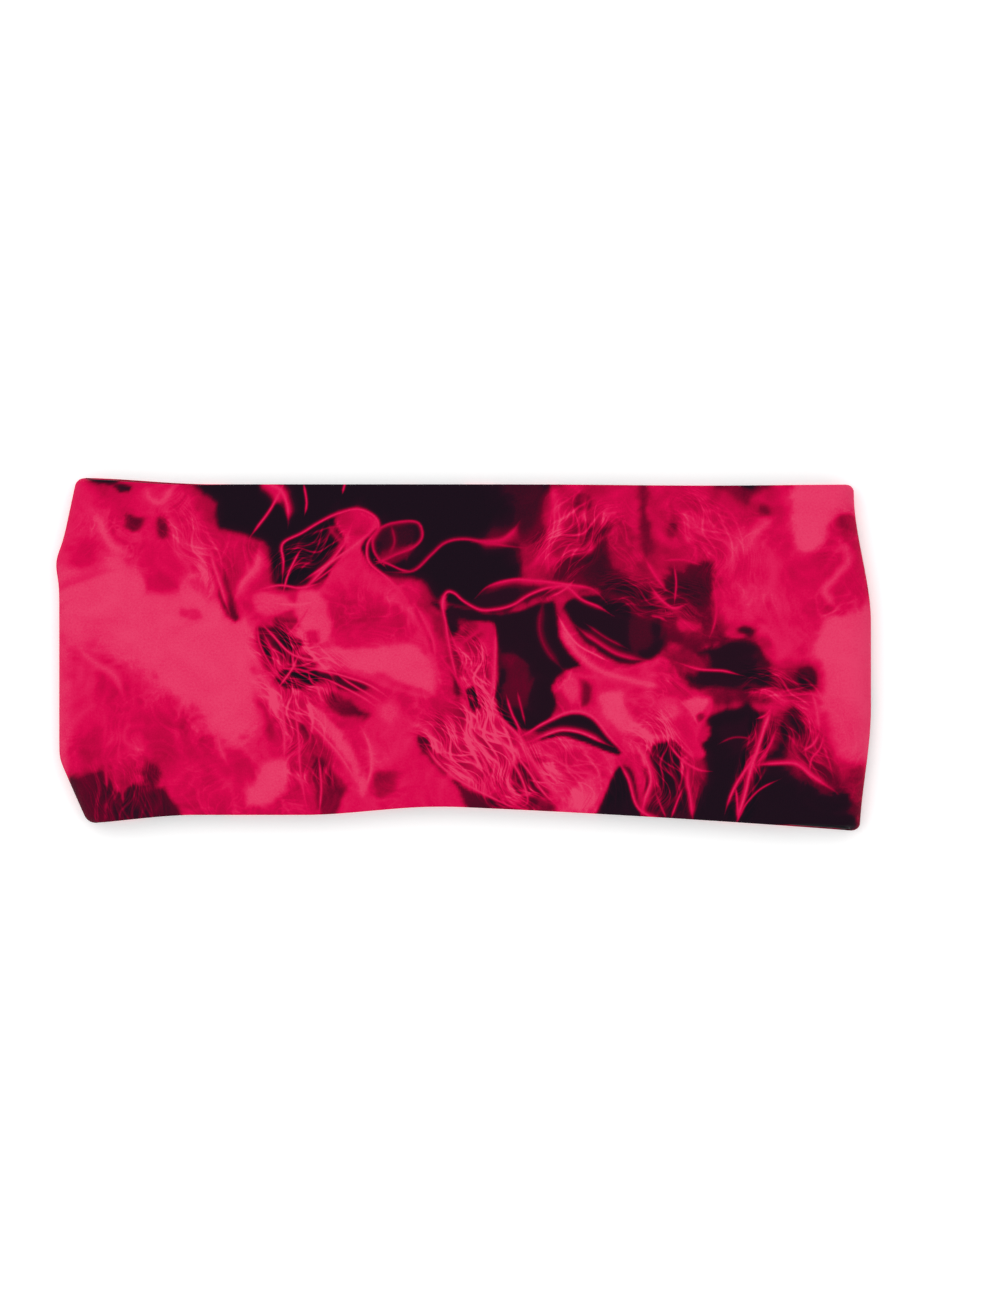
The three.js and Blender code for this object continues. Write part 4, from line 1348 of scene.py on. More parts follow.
@dataclass(frozen=True)
class PrintedKnit(Finish):
    """Brushed stretch knit that carries the smoke print.

    Attributes:
        strand_layers: How many layers of fine wisps the cloth carries.
        tangle_layers: How many layers of tangles it carries.
        speckle: How far the knit's speckle changes the tone.
        stops: Tones and the display colours that they print as.
    """

    strand_layers: int = 1
    tangle_layers: int = 1
    speckle: float = 0.32
    stops: tuple = (
        (0.0, (20, 11, 22)),
        (0.12, (40, 9, 27)),
        (0.27, (96, 0, 34)),
        (0.5, (172, 0, 55)),
        (0.68, (211, 0, 73)),
        (0.82, (219, 27, 86)),
        (0.97, (226, 60, 103)),
    )

    def make(self) -> bpy.types.Material:
        """Makes the material."""
        material, graph, shader = self.start()
        cloth = graph.read("cloth").outputs["Vector"]
        tone = self.filaments(graph, graph.read("tone").outputs["Fac"], cloth)
        tangle, strand = group_tree(Group.TANGLE), group_tree(Group.STRAND)
        for k in range(self.tangle_layers):
            flow = graph.read(f"tangle_{k}").outputs["Vector"]
            tone = graph.placed(tangle, {"Tone": tone, "Flow": flow, "Pitch": 1.5}).outputs["Tone"]
        for k in range(self.strand_layers):
            line = graph.read(f"strand_{k}").outputs["Vector"]
            tone = graph.placed(strand, {"Tone": tone, "Strand": line}).outputs["Tone"]
        knit = graph.placed(group_tree(Group.KNIT), {"Cloth": cloth, "Loop": 0.55, "Fuzz": 0.6})
        speck = graph.math("MULTIPLY", knit.outputs["Speckle"], self.speckle)
        lit = graph.math("MULTIPLY_ADD", tone, 0.8, 0.2, clamp=True)
        tone = graph.math("MULTIPLY_ADD", speck, lit, tone)
        self.tint(graph, shader, tone, self.stops)
        self.emboss(graph, shader, knit.outputs["Height"], 0.35, 0.0002)
        rough = graph.math("MULTIPLY_ADD", knit.outputs["Height"], -0.12, self.roughness + 0.06)
        graph.join(shader.inputs["Roughness"], rough)
        return material

    def filaments(self, graph: Graph, tone: Socket, cloth: Socket) -> Socket:
        """Adds thin swirling lines all over the lit smoke.

        Args:
            graph: The material's graph.
            tone: The tone so far.
            cloth: The place on the cloth.

        Returns:
            The tone with the lines.
        """
        swirl = graph.node("ShaderNodeTexNoise", {"Vector": cloth, "Scale": 0.035, "Detail": 2.0})
        shifted = graph.node(
            "ShaderNodeVectorMath", {0: swirl.outputs["Color"], 1: (0.5, 0.5, 0.5)}, operation="SUBTRACT"
        )
        moved = graph.node(
            "ShaderNodeVectorMath", {0: shifted.outputs[0], 1: (60.0, 60.0, 0.0), 2: cloth},
            operation="MULTIPLY_ADD",
        )
        total = None
        for scale, share in ((0.075, 0.6), (0.17, 0.45)):
            far = graph.noise(moved.outputs[0], scale, 2.0)
            far = graph.math("ABSOLUTE", graph.math("SUBTRACT", far, 0.5))
            ridge = graph.math("SUBTRACT", 1.0, graph.math("MULTIPLY", far, 16.0), clamp=True)
            ridge = graph.math("MULTIPLY", graph.math("POWER", ridge, 1.6), share)
            total = ridge if total is None else graph.math("ADD", total, ridge)
        lit = graph.node(
            "ShaderNodeMapRange", {"Value": tone, "From Min": 0.06, "From Max": 0.5, "To Max": 0.24}
        )
        fading = {"Value": tone, "From Min": 0.7, "From Max": 0.92, "To Min": 1.0, "To Max": 0.15}
        less = graph.node("ShaderNodeMapRange", fading)
        here = graph.math("MULTIPLY_ADD", graph.noise(cloth, 0.05, 2.0), 4.0, -1.7, clamp=True)
        hold = graph.math("MULTIPLY", graph.math("MULTIPLY", lit.outputs[0], less.outputs[0]), here)
        return graph.math("MULTIPLY_ADD", total, hold, tone)


@dataclass(frozen=True)
class PlainKnit(Finish):
    """Unprinted stretch knit, with painted shade in the hollows between its loops.

    Attributes:
        colour: Its display colour.
        loop: Size of a knitted loop, in millimetres.
    """

    colour: tuple = (26, 20, 28)
    loop: float = 0.6

    def make(self) -> bpy.types.Material:
        """Makes the material."""
        material, graph, shader = self.start()
        inputs = {"Cloth": graph.read("cloth").outputs["Vector"], "Loop": self.loop, "Fuzz": 0.35}
        knit = graph.placed(group_tree(Group.KNIT), inputs)
        # Painted shade: the colour follows the knit's height, lighter on the loop tops and darker in the
        # hollows between the loops.
        self.tint(graph, shader, knit.outputs["Height"], self.shades(self.colour, 0.55, 1.35))
        self.emboss(graph, shader, knit.outputs["Height"], 0.5, 0.0002)
        return material


@dataclass(frozen=True)
class SpunThread(Finish):
    """Twisted sewing thread."""

    colour: tuple = (30, 22, 30)

    def make(self) -> bpy.types.Material:
        """Makes the material."""
        material, graph, shader = self.start()
        place = graph.node("ShaderNodeTexCoord").outputs["Object"]
        fibre = graph.noise(place, 5200.0, 2.0)
        self.tint(graph, shader, fibre, self.shades(self.colour, 0.6, 1.9))
        self.emboss(graph, shader, fibre, 0.4, 0.0001)
        return material


@dataclass(frozen=True)
class ClearTape(Finish):
    """Clear elastic tape with a faint grain."""

    def make(self) -> bpy.types.Material:
        """Makes the material."""
        material, graph, shader = self.start()
        shader.inputs["Transmission Weight"].default_value = 0.35
        shader.inputs["IOR"].default_value = 1.45
        place = graph.node("ShaderNodeTexCoord").outputs["Object"]
        grain = graph.noise(place, 900.0, 3.0)
        self.tint(graph, shader, grain, ((0.0, (206, 208, 208)), (1.0, (232, 233, 234))))
        self.emboss(graph, shader, grain, 0.2, 0.0001)
        return material


@dataclass(frozen=True)
class WovenSatin(Finish):
    """Satin label tape: fine crosswise floats and firmer woven borders."""

    colour: tuple = (44, 40, 46)

    def make(self) -> bpy.types.Material:
        """Makes the material."""
        material, graph, shader = self.start()
        cloth = graph.read("cloth").outputs["Vector"]
        place = graph.node("ShaderNodeSeparateXYZ", {0: cloth})
        weft = graph.math("SINE", graph.math("MULTIPLY", place.outputs[0], 2 * math.pi / 0.22))
        warp = graph.math("SINE", graph.math("MULTIPLY", place.outputs[1], 2 * math.pi / 0.3))
        floats = graph.math("MULTIPLY_ADD", warp, 0.3, graph.math("MULTIPLY", weft, 0.7))
        height = graph.math("MULTIPLY_ADD", floats, 0.5, 0.5)
        uneven = graph.noise(cloth, 0.4, 3.0)
        # Painted shade and highlight: the colour follows the floats' height, lighter on their tops and
        # darker between them, mixed with the tape's real random uneven tone.
        shade = graph.math("MULTIPLY_ADD", height, 0.35, graph.math("MULTIPLY", uneven, 0.6), clamp=True)
        self.tint(graph, shader, shade, self.shades(self.colour, 0.7, 1.4))
        self.emboss(graph, shader, height, 0.35, 0.0001)
        return material


# --- Stitches, made by Geometry Nodes ---


@dataclass
class ThreadTree:
    """A Geometry Nodes tree that wraps a thread round a seam, turn after turn.

    The seam is a line of points with the directions side and lift. With no lift the thread is a
    flat zigzag.

    Attributes:
        material: The thread's finish.
        inputs: Names and starting values of the tree's sizes, in metres.
    """

    material: bpy.types.Material
    inputs: tuple = (
        ("Pitch", 0.0025), ("Half Width", 0.0008), ("Half Lift", 0.0), ("Thread Radius", 0.0001),
        ("Unevenness", 0.0001),
    )
    tree: bpy.types.NodeTree | None = None
    turn_steps: int = 6

    def build(self) -> None:
        """Builds the tree."""
        self.tree = bpy.data.node_groups.new("Thread round a seam", "GeometryNodeTree")
        face = self.tree.interface
        face.new_socket(name="Geometry", in_out="INPUT", socket_type="NodeSocketGeometry")
        for name, start in self.inputs:
            face.new_socket(name=name, in_out="INPUT", socket_type=VALUE).default_value = start
        face.new_socket(name="Seed", in_out="INPUT", socket_type="NodeSocketInt").default_value = 4
        face.new_socket(name="Geometry", in_out="OUTPUT", socket_type="NodeSocketGeometry")
        graph = Graph(self.tree)
        given = graph.node("NodeGroupInput").outputs
        curve = graph.node("GeometryNodeMeshToCurve", {"Mesh": given["Geometry"]}).outputs[0]
        step = graph.math("DIVIDE", given["Pitch"], float(self.turn_steps))
        resampled = graph.node("GeometryNodeResampleCurve", {"Curve": curve}, mode="LENGTH")
        graph.join(resampled.inputs["Length"], step)
        index = graph.node("GeometryNodeInputIndex").outputs[0]
        angle = graph.math("MULTIPLY", index, 2 * math.pi / self.turn_steps)
        wide = graph.math("MULTIPLY", graph.math("COSINE", angle), given["Half Width"])
        high = graph.math("MULTIPLY", graph.math("SINE", angle), given["Half Lift"])
        by_side = self.along_attribute(graph, "side", wide)
        by_lift = self.along_attribute(graph, "lift", high)
        least = graph.math("MULTIPLY", given["Unevenness"], -1.0)
        jitter = graph.node("FunctionNodeRandomValue", data_type="FLOAT")
        graph.join(jitter.inputs[2], least)
        graph.join(jitter.inputs[3], given["Unevenness"])
        graph.join(jitter.inputs["Seed"], given["Seed"])
        by_chance = self.along_attribute(graph, "side", jitter.outputs[1])
        moved = self.sum_of(graph, self.sum_of(graph, by_side, by_lift), by_chance)
        inputs = {"Geometry": resampled.outputs[0], "Offset": moved}
        placed = graph.node("GeometryNodeSetPosition", inputs).outputs[0]
        circle = graph.node("GeometryNodeCurvePrimitiveCircle", {"Resolution": 5})
        graph.join(circle.inputs["Radius"], given["Thread Radius"])
        inputs = {"Curve": placed, "Profile Curve": circle.outputs[0], "Fill Caps": True}
        tube = graph.node("GeometryNodeCurveToMesh", inputs).outputs[0]
        smooth = graph.node("GeometryNodeSetShadeSmooth", {"Geometry": tube}).outputs[0]
        whole = graph.node("GeometryNodeRealizeInstances", {"Geometry": smooth}).outputs[0]
        inputs = {"Geometry": whole, "Material": self.material}
        finished = graph.node("GeometryNodeSetMaterial", inputs).outputs[0]
        graph.join(graph.node("NodeGroupOutput").inputs[0], finished)

    @staticmethod
    def along_attribute(graph: Graph, name: str, size: Socket) -> Socket:
        """Returns the named direction times a size."""
        read = graph.node("GeometryNodeInputNamedAttribute", {"Name": name}, data_type="FLOAT_VECTOR")
        scaled = graph.node("ShaderNodeVectorMath", {0: read.outputs[0]}, operation="SCALE")
        graph.join(scaled.inputs["Scale"], size)
        return scaled.outputs[0]

    @staticmethod
    def sum_of(graph: Graph, first: Socket, second: Socket) -> Socket:
        """Returns the sum of two vectors."""
        return graph.node("ShaderNodeVectorMath", {0: first, 1: second}, operation="ADD").outputs[0]

    def sew(self, name: str, seams: list["SeamLine"], sizes: dict[str, float]) -> Piece:
        """Makes a thread along seams, as a plain mesh.

        Args:
            name: The piece's name.
            seams: The lines to follow.
            sizes: Values for the tree's named inputs.

        Returns:
            The piece.
        """
        points = np.vstack([seam.points for seam in seams])
        edges, first = [], 0
        for seam in seams:
            count = len(seam.points)
            edges += [(first + i, first + i + 1) for i in range(count - 1)]
            first += count
        mesh = bpy.data.meshes.new(name)
        mesh.from_pydata((points * MM).tolist(), edges, [])
        guide = bpy.data.objects.new(name + "_guide", mesh)
        bpy.context.scene.collection.objects.link(guide)
        write_vectors(guide, "side", np.vstack([seam.side for seam in seams]))
        write_vectors(guide, "lift", np.vstack([seam.lift for seam in seams]))
        modifier = guide.modifiers.new("Thread", "NODES")
        modifier.node_group = self.tree
        for item in self.tree.interface.items_tree:
            if item.in_out == "INPUT" and item.name in sizes:
                modifier[item.identifier] = sizes[item.name]
        ready = guide.evaluated_get(bpy.context.evaluated_depsgraph_get())
        made = bpy.data.meshes.new_from_object(ready)
        guide.modifiers.clear()
        bpy.data.objects.remove(guide)
        made.name = name
        piece = bpy.data.objects.new(name, made)
        bpy.context.scene.collection.objects.link(piece)
        return piece


@dataclass
class SeamLine:
    """A line to sew along, with its directions across and away from the cloth."""

    points: Array
    side: Array
    lift: Array

    @classmethod
    def on_cloth(cls, shape: BandShape, s: Array, q: Array, depth: Array) -> SeamLine:
        """Lays a line on the cloth.

        Args:
            shape: The band's shape.
            s: Places round the loop.
            q: Places across the band.
            depth: Depths under the outer face.

        Returns:
            The line, whose side runs across it in the cloth and whose lift leaves the cloth.
        """
        points = shape.lies(s, q, depth)
        run = np.gradient(points, axis=0)
        run /= np.linalg.norm(run, axis=1, keepdims=True)
        lift = shape.lies(s, q, depth - 0.5) - shape.lies(s, q, depth + 0.5)
        lift /= np.linalg.norm(lift, axis=1, keepdims=True)
        side = np.cross(lift, run)
        side /= np.linalg.norm(side, axis=1, keepdims=True)
        return cls(points, side, lift)


# --- The band's sub-assemblies ---


def stand_for(piece: Piece, slot: str, *nodes: str) -> None:
    """Rides a piece on the band, logs its slot, and hides the solids that it stands for."""
    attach(piece, ROOT)
    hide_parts(*nodes)
    LOG.info("%s: %d faces, slot %s, for %s", piece.name, len(piece.data.polygons), slot, nodes)


@dataclass
class OuterPanel:
    """The printed panel: one strip of knit round the loop, its long edges turned in.

    Attributes:
        shape: The band's shape.
        wall: The depths of the layers.
        front_step: Spacing of the stations over the upper wall.
        back_step: Spacing of the stations over the lower wall.
        leaf_steps: Rows across the leaf.
        valley: How far the cloth draws in at the back seam.
        gap: Half the space between the panel's two ends at the back seam.
    """

    shape: BandShape
    wall: Wall
    front_step: float = 0.64
    back_step: float = 1.7
    leaf_steps: int = 156
    valley: float = 0.5
    gap: float = 0.1

    def stations(self) -> Array:
        """Returns the places round the loop, from centre back to centre back."""
        straight, end = self.shape.straight, self.shape.half_round
        bend = end - straight
        front = np.linspace(0, straight, round(straight / self.front_step) + 1)
        round_end = np.linspace(straight, bend, 13)[1:]
        back = np.linspace(bend, end - 3, round((end - 3 - bend) / self.back_step) + 1)[1:]
        seam = np.linspace(end - 3, end - self.gap, 8)[1:]
        half = np.concatenate([front, round_end, back, seam])
        return np.concatenate([-half[:0:-1], half])

    def build(self) -> Piece:
        """Builds the panel and works out its print."""
        wall, edge = self.wall, self.shape.width / 2
        steps = (2, 5, self.leaf_steps)
        face = hem_rows(edge, wall.turn_in, 0.0, wall.outer_turn + wall.knit, steps)
        under = hem_rows(edge - wall.knit, wall.turn_in - wall.knit, wall.knit, wall.outer_turn, (1, 2, 6))
        shell = ShellMesh(self.stations(), face, under)
        dip = self.valley * np.exp(-(((self.shape.half_round - np.abs(shell.s)) / 0.9) ** 2))
        on_face, on_back = shell.places(face, dip), shell.places(under, dip)
        places = np.vstack([on_face, on_back])
        points = self.shape.lies(*places.T)
        piece = make_piece("printed_panel", points, shell.faces())
        self.print_on(piece, places, points, len(on_face))
        self.unwrap(piece, places, shell, len(on_face))
        return piece

    def print_on(
        self, piece: Piece, places: Array, points: Array, face_count: int
    ) -> None:
        """Stores the print on the piece's points.

        Args:
            piece: The panel.
            places: Each point's place on the cloth.
            points: Each point in space.
            face_count: How many points lie on the printed side.
        """
        smoke = SmokePrint()
        s, q, _ = places[:face_count].T
        along = s * self.shape.scale(s, q)
        across = points[:face_count, 1]
        blank = len(places) - face_count
        write_floats(piece, "tone", np.append(smoke.tone(along, across), np.full(blank, 0.03)))
        lines = {"strand": smoke.strands(along, across), "tangle": smoke.tangles(along, across)}
        for kind, found in lines.items():
            for k, line in enumerate(found):
                write_vectors(piece, f"{kind}_{k}", np.vstack([line, np.zeros((blank, 3))]))
        cloth = np.stack([places[:, 0], places[:, 1], np.zeros(len(places))], 1)
        write_vectors(piece, "cloth", cloth)
        self.strand_layers = len(smoke.layers["strand"])
        self.tangle_layers = len(smoke.layers["tangle"])
        LOG.info("print: %d strand layers, %d tangle layers", self.strand_layers, self.tangle_layers)

    def unwrap(self, piece: Piece, places: Array, shell: ShellMesh, face_count: int) -> None:
        """Lays the cloth's front, back and reverse out flat in three bands of one map.

        Args:
            piece: The panel.
            places: Each point's place on the cloth.
            shell: The mesh's layout.
            face_count: How many points lie on the printed side.
        """
        half = self.shape.half_round
        turn = half / 2
        room = 2.06 * turn
        rows = np.concatenate([[0], np.cumsum(np.hypot(*np.diff(shell.face_rows, axis=0).T))])
        share = np.tile(rows / rows[-1], len(shell.s))
        share = np.append(share, np.tile(np.linspace(0, 1, len(shell.back_rows)), len(shell.s)))
        mesh = piece.data
        corner = read_ints(mesh.loops, "vertex_index")
        start = read_ints(mesh.polygons, "loop_start")
        total = read_ints(mesh.polygons, "loop_total")
        face_of = np.repeat(np.arange(len(start)), total)
        s = places[corner, 0]
        middle = np.add.reduceat(s, start) / total
        reverse = np.add.reduceat((corner >= face_count).astype(float), start) > 0
        middle, reverse = middle[face_of], reverse[face_of]
        front = np.abs(middle) < turn
        back_u = np.where(middle > 0, (s - turn) / room, 1 + (s + turn) / room)
        u = np.where(front, 0.5 + s / room, 0.01 + 0.98 * back_u)
        v = np.where(front, 0.53, 0.05) + 0.46 * share[corner]
        u = np.where(reverse, 0.01 + 0.98 * (0.5 + s / (2 * half)), u)
        v = np.where(reverse, 0.005 + 0.035 * share[corner], v)
        layer = mesh.uv_layers.new(name="cloth_map")
        layer.uv.foreach_set("vector", np.stack([u, v], 1).astype(np.float32).ravel())

    def dress(self, piece: Piece) -> None:
        """Gives the panel its finish and ties it to the band."""
        finish = PrintedKnit(
            "printed_knit_cloth", 0.85, 0.0, 0.06, self.strand_layers, self.tangle_layers
        )
        piece.data.materials.append(finish.make())
        stand_for(piece, "printed_knit", "outer_panel")


@dataclass
class LiningPanel:
    """The plain lining inside the loop, its long edges turned in towards the printed panel."""

    shape: BandShape
    wall: Wall
    step: float = 2.0
    valley: float = 0.35
    gap: float = 0.15

    def build(self) -> Piece:
        """Builds the lining."""
        wall, edge = self.wall, self.shape.width / 2 - self.wall.inset
        near, far = wall.lining_turn, wall.lining_edge
        face = hem_rows(edge, wall.turn_in, far + wall.knit, near, (3, 6, 48))
        under = hem_rows(edge - wall.knit, wall.turn_in - wall.knit, far, near + wall.knit, (3, 2, 40))
        for rows in (face, under):
            leaf = np.abs(rows[:, 0]) < 41
            rows[leaf, 1] += wall.lining_depth(rows[leaf, 0]) - far
        end = self.shape.half_round - self.gap
        even = np.linspace(0, end - 4, round((end - 4) / self.step) + 1)
        half = np.append(even, np.linspace(end - 4, end, 8)[1:])
        shell = ShellMesh(np.concatenate([-half[:0:-1], half]), face, under, inward=True)
        dip = -self.valley * np.exp(-(((self.shape.half_round - np.abs(shell.s)) / 1.1) ** 2))
        places = np.vstack([shell.places(face, dip), shell.places(under, dip)])
        piece = make_piece("lining_panel", self.shape.lies(*places.T), shell.faces())
        write_vectors(piece, "cloth", np.stack([places[:, 0], places[:, 1], np.zeros(len(places))], 1))
        return piece

    def dress(self, piece: Piece) -> None:
        """Gives the lining its finish and ties it to the band."""
        piece.data.materials.append(PlainKnit("lining_knit_cloth", 0.9, 0.15).make())
        stand_for(piece, "lining_knit", "inner_panel")


@dataclass
class EdgeTapes:
    """The two clear elastic tapes that hold the long edges to the head."""

    shape: BandShape
    wall: Wall
    tape_width: float = 5.0
    from_edge: float = 1.7
    step: float = 3.0

    def build(self, name: str, side: int) -> Piece:
        """Builds one tape.

        Args:
            name: The piece's name.
            side: 1 for the top edge, -1 for the bottom one.

        Returns:
            The piece.
        """
        high = self.shape.width / 2 - self.from_edge
        q = np.linspace(high - self.tape_width, high, 5) * side
        q = q if side > 0 else q[::-1]
        wall = self.wall
        face = np.stack([q, np.full(5, wall.tape)], 1)
        under = np.stack([q, np.full(5, wall.tape + wall.tape_thick)], 1)
        count = round(2 * self.shape.half_round / self.step)
        s = np.linspace(-1, 1, count) * (self.shape.half_round - 0.15)
        shell = ShellMesh(s, face, under)
        flat = np.zeros(len(s))
        places = np.vstack([shell.places(face, flat), shell.places(under, flat)])
        return make_piece(name, self.shape.lies(*places.T), shell.faces())

    def dress(self) -> None:
        """Builds both tapes, gives them their finish and ties them to the band."""
        finish = ClearTape("clear_elastic", 0.35).make()
        for edge, side in (("top", 1), ("bottom", -1)):
            piece = self.build(f"{edge}_tape", side)
            piece.data.materials.append(finish)
            stand_for(piece, "clear_tape", f"{edge}_edge_elastic")


@dataclass
class Sewing:
    """Every seam's thread."""

    shape: BandShape
    wall: Wall
    overlock_pitch: float = 2.6
    zigzag_pitch: float = 1.8
    gap_pitch: float = 4.0
    turning_gap: float = 50.0

    def thread(self, pitch: float, wide: float, high: float, radius: float, uneven: float) -> dict:
        """Returns a thread's sizes, given in millimetres, as the tree takes them."""
        names = ("Pitch", "Half Width", "Half Lift", "Thread Radius", "Unevenness")
        return {name: size * MM for name, size in zip(names, (pitch, wide, high, radius, uneven))}

    def line(self, s: Array | float, q: Array | float, depth: Array | float) -> SeamLine:
        """Returns a line on the cloth, where a place that stays the same is one number."""
        return SeamLine.on_cloth(self.shape, *np.broadcast_arrays(s, q, depth))

    def dress(self) -> None:
        """Sews all the seams and ties their threads to the band."""
        tree = ThreadTree(SpunThread("polyester_thread", 0.6, 0.1).make())
        tree.build()
        half = self.shape.half_round
        raw = self.shape.width / 2 - self.wall.turn_in + 0.6
        middle = (self.wall.outer_turn + self.wall.lining_turn + self.wall.knit) / 2
        wrap = self.thread(self.overlock_pitch, 0.9, 0.54, 0.07, 0.06)
        hand = self.thread(self.gap_pitch, 0.9, 0.54, 0.1, 0.06)
        zigzag = self.thread(self.zigzag_pitch, 0.75, 0.05, 0.12, 0.05)
        gap = self.turning_gap / 2
        top = [self.line(np.linspace(-half + 1, half - 1, 400), raw, middle)]
        ends = ((-half + 1, -gap), (gap, half - 1))
        bottom = [self.line(np.linspace(*end, 200), -raw, middle) for end in ends]
        closing = [self.line(np.linspace(-gap + 1, gap - 1, 60), -raw - 3.5, middle)]
        q = np.linspace(-42.5, 42.5, 120)
        outer = [self.line(half, q, 0.4)]
        inner = [self.line(half, q, self.wall.lining_depth(q) + self.wall.knit - 0.1)]
        for name, node, seams, sizes in (
            ("top_overlock", "top_edge_seam", top, wrap),
            ("bottom_overlock", "bottom_edge_seam", bottom, wrap),
            ("hand_closing", "turning_gap_stitch", closing, hand),
            ("outer_seam_thread", "outer_back_seam", outer, zigzag),
            ("lining_seam_thread", "inner_back_seam", inner, zigzag),
            ("label_tack", "care_label_stitch", [self.tack()], self.thread(0.62, 0.8, 0.04, 0.11, 0.08)),
        ):
            stand_for(tree.sew(name, seams, sizes), "dark_thread", node)

    def tack(self) -> SeamLine:
        """Returns the close bar of stitches over the label's end."""
        y = np.linspace(-5.9, 6.5, 40)
        top = self.wall.lining_middle + self.wall.knit + 0.42
        points = np.stack([np.full(40, 3.4), y, np.full(40, top)], 1)
        return SeamLine(points, np.tile((1.0, 0.0, 0.0), (40, 1)), np.tile((0.0, 0.0, 1.0), (40, 1)))


@dataclass
class CareLabel:
    """A small blank satin label, tacked by one end to the lining at the back."""

    shape: BandShape
    wall: Wall
    length: float = 24.0
    width: float = 14.0
    thickness: float = 0.22
    start: float = 2.9
    centre: float = 0.3
    curl: float = 1.3

    def build(self) -> Piece:
        """Builds the label."""
        along = np.linspace(0, self.length, 61)
        across = np.linspace(-self.width / 2, self.width / 2, 29)
        u, v = (a.ravel() for a in np.meshgrid(along, across, indexing="ij"))
        share = u / self.length
        rise = self.curl * smoothstep(0.35, 1.0, share) ** 1.5
        rise = rise + 0.12 * np.sin(u / 3.1) * smoothstep(0.1, 0.4, share)
        rise = rise + 0.25 * share * (v / self.width * 2) ** 2
        border = 0.05 * smoothstep(self.width / 2 - 1.3, self.width / 2 - 1.0, np.abs(v))
        base = self.wall.lining_middle + self.wall.knit + 0.06
        x, y = self.start + u - 0.02 * rise * u, self.centre + v
        low = np.stack([x, y, base + rise], 1)
        high = low + np.stack([0 * u, 0 * u, self.thickness + border], 1)
        n, m = len(along), len(across)
        at = grid_corners(n, m)
        quads = [np.stack([at, at + m, at + m + 1, at + 1], 1)]
        quads.append(np.stack([at, at + 1, at + m + 1, at + m], 1) + n * m)
        rim = list(range(0, n * m, m)) + list(range((n - 1) * m + 1, n * m))
        rim += list(range(n * m - 1 - m, 0, -m)) + list(range(m - 2, 0, -1))
        rim = np.array(rim)
        after = np.roll(rim, -1)
        quads.append(np.stack([after, rim, rim + n * m, after + n * m], 1))
        faces = [tuple(q) for q in np.vstack(quads).tolist()]
        piece = make_piece("satin_label", np.vstack([high, low]), faces)
        cloth = np.stack([u, v, 0 * u], 1)
        write_vectors(piece, "cloth", np.vstack([cloth, cloth]))
        return piece

    def dress(self, piece: Piece) -> None:
        """Gives the label its finish and ties it to the band."""
        piece.data.materials.append(WovenSatin("woven_satin", 0.42, 0.2).make())
        stand_for(piece, "label_satin", "care_label")


# --- The studio ---


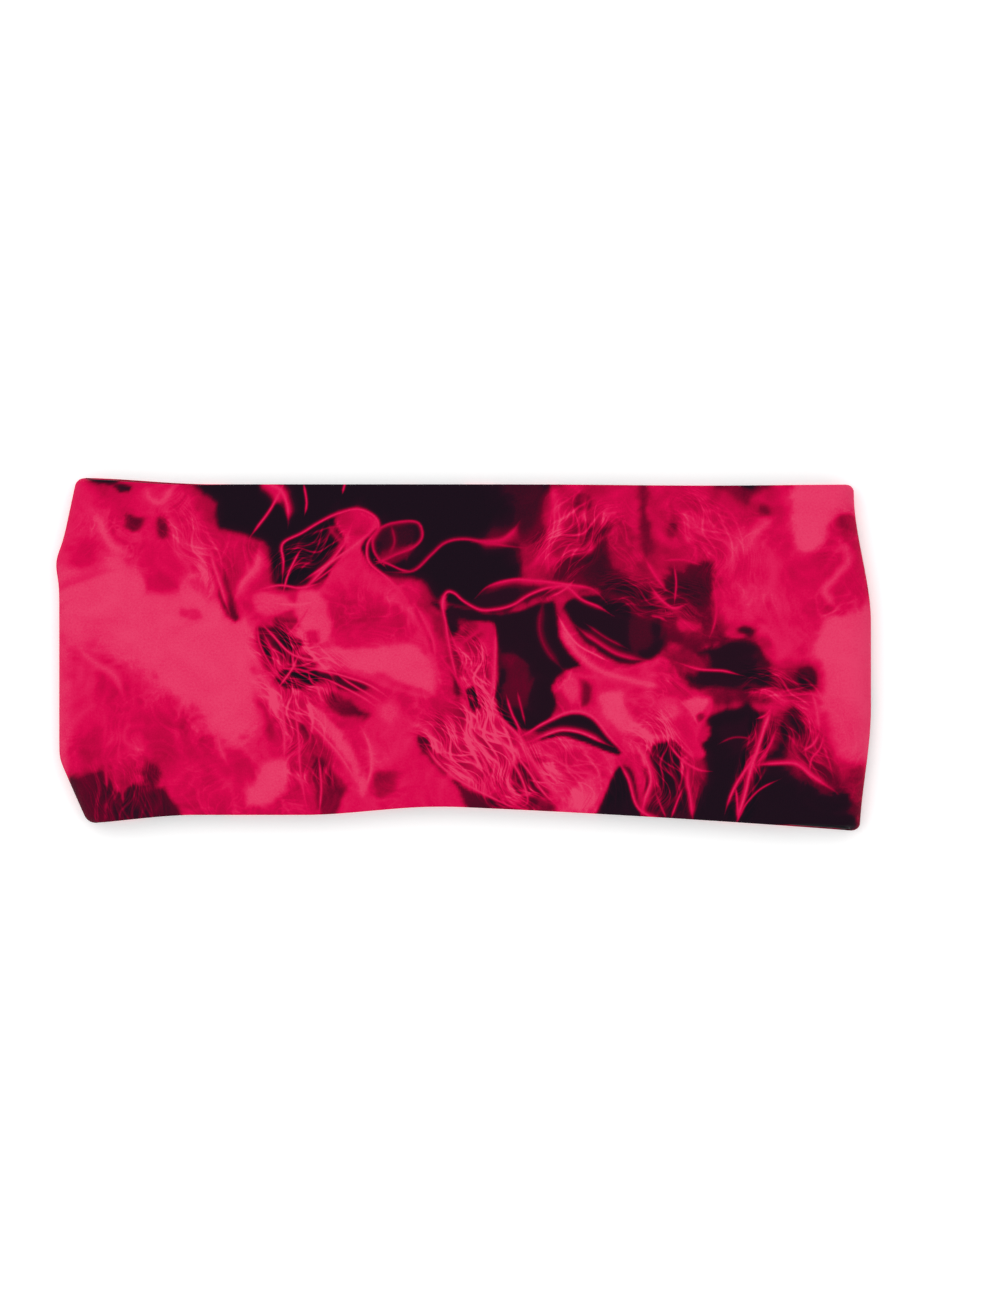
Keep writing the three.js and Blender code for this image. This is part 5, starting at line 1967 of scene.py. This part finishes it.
@dataclass
class Studio:
    """A pale floor, soft light from above and a camera that looks straight down.

    Attributes:
        view_height: Height of the camera's view, in metres.
        aside: How far the camera's centre lies to the right of the band and above it.
        overhead: Power of the light above, in watts.
        light_place: Where it hangs, in metres.
        light_size: Its width, in metres.
        ambient: Strength of the light from all round.
        glow: Strength of the floor's own light, as on a light table.
        camera_height: Height of the camera above the floor, in metres.
        floor_half: Half the floor's side, in millimetres.
    """

    view_height: float = 0.36465
    aside: tuple[float, float] = (0.01024, 0.0014)
    overhead: float = 5.0
    light_place: tuple[float, float, float] = (-0.15, 0.2, 1.1)
    light_size: float = 1.2
    ambient: float = 0.76
    glow: float = 0.22
    camera_height: float = 3.0
    floor_half: float = 6000.0

    def floor(self) -> None:
        """Lays the floor."""
        points = self.floor_half * np.array([(-1, -1, 0), (1, -1, 0), (1, 1, 0), (-1, 1, 0)], float)
        floor = make_piece("floor", points, [(0, 1, 2, 3)], smooth=False)
        material = bpy.data.materials.new("pale_floor")
        material.use_nodes = True
        graph = Graph(material.node_tree)
        shader = material.node_tree.nodes["Principled BSDF"]
        place = graph.node("ShaderNodeTexCoord").outputs["Object"]
        ramp = graph.node("ShaderNodeValToRGB", {0: graph.noise(place, 3.0, 2.0)})
        ramp.color_ramp.elements[0].color = linear(250, 250, 250)
        ramp.color_ramp.elements[1].color = linear(252, 252, 252)
        graph.join(shader.inputs["Base Color"], ramp.outputs[0])
        shader.inputs["Roughness"].default_value = 0.9
        shader.inputs["Specular IOR Level"].default_value = 0.1
        shader.inputs["Emission Color"].default_value = linear(252, 252, 252)
        shader.inputs["Emission Strength"].default_value = self.glow
        floor.data.materials.append(material)

    def lights(self) -> None:
        """Hangs one wide light overhead and lights the room evenly."""
        world = bpy.data.worlds.new("studio")
        world.use_nodes = True
        background = world.node_tree.nodes["Background"]
        background.inputs["Color"].default_value = (1.0, 1.0, 1.0, 1.0)
        background.inputs["Strength"].default_value = self.ambient
        bpy.context.scene.world = world
        light = bpy.data.lights.new("overhead", "AREA")
        light.shape, light.size, light.energy = "DISK", self.light_size, self.overhead
        holder = bpy.data.objects.new("overhead", light)
        holder.location = self.light_place
        holder.visible_camera = False
        holder.rotation_euler = (-Vector(self.light_place)).to_track_quat("-Z", "Y").to_euler()
        bpy.context.scene.collection.objects.link(holder)

    def camera(self) -> None:
        """Sets the camera over the band."""
        data = bpy.data.cameras.new("camera")
        data.type, data.ortho_scale = "ORTHO", self.view_height
        data.clip_end = 30.0
        low, high = cad_box
        middle = (low + high) / 2
        holder = bpy.data.objects.new("camera", data)
        holder.location = (middle.x + self.aside[0], middle.y + self.aside[1], self.camera_height)
        bpy.context.scene.collection.objects.link(holder)
        bpy.context.scene.camera = holder
        bpy.context.scene.view_settings.view_transform = "Standard"

    def set_up(self) -> None:
        """Sets up the floor, the lights and the camera."""
        self.camera()
        self.floor()
        self.lights()


def main() -> None:
    """Builds the band, dresses it and sets up the studio."""
    logging.basicConfig(level=logging.INFO, format="%(name)s %(message)s")
    shape, wall = BandShape(), Wall()
    Studio().set_up()
    panel = OuterPanel(shape, wall)
    panel.dress(panel.build())
    lining = LiningPanel(shape, wall)
    lining.dress(lining.build())
    EdgeTapes(shape, wall).dress()
    Sewing(shape, wall).dress()
    label = CareLabel(shape, wall)
    label.dress(label.build())


if __name__ == "__main__":
    main()
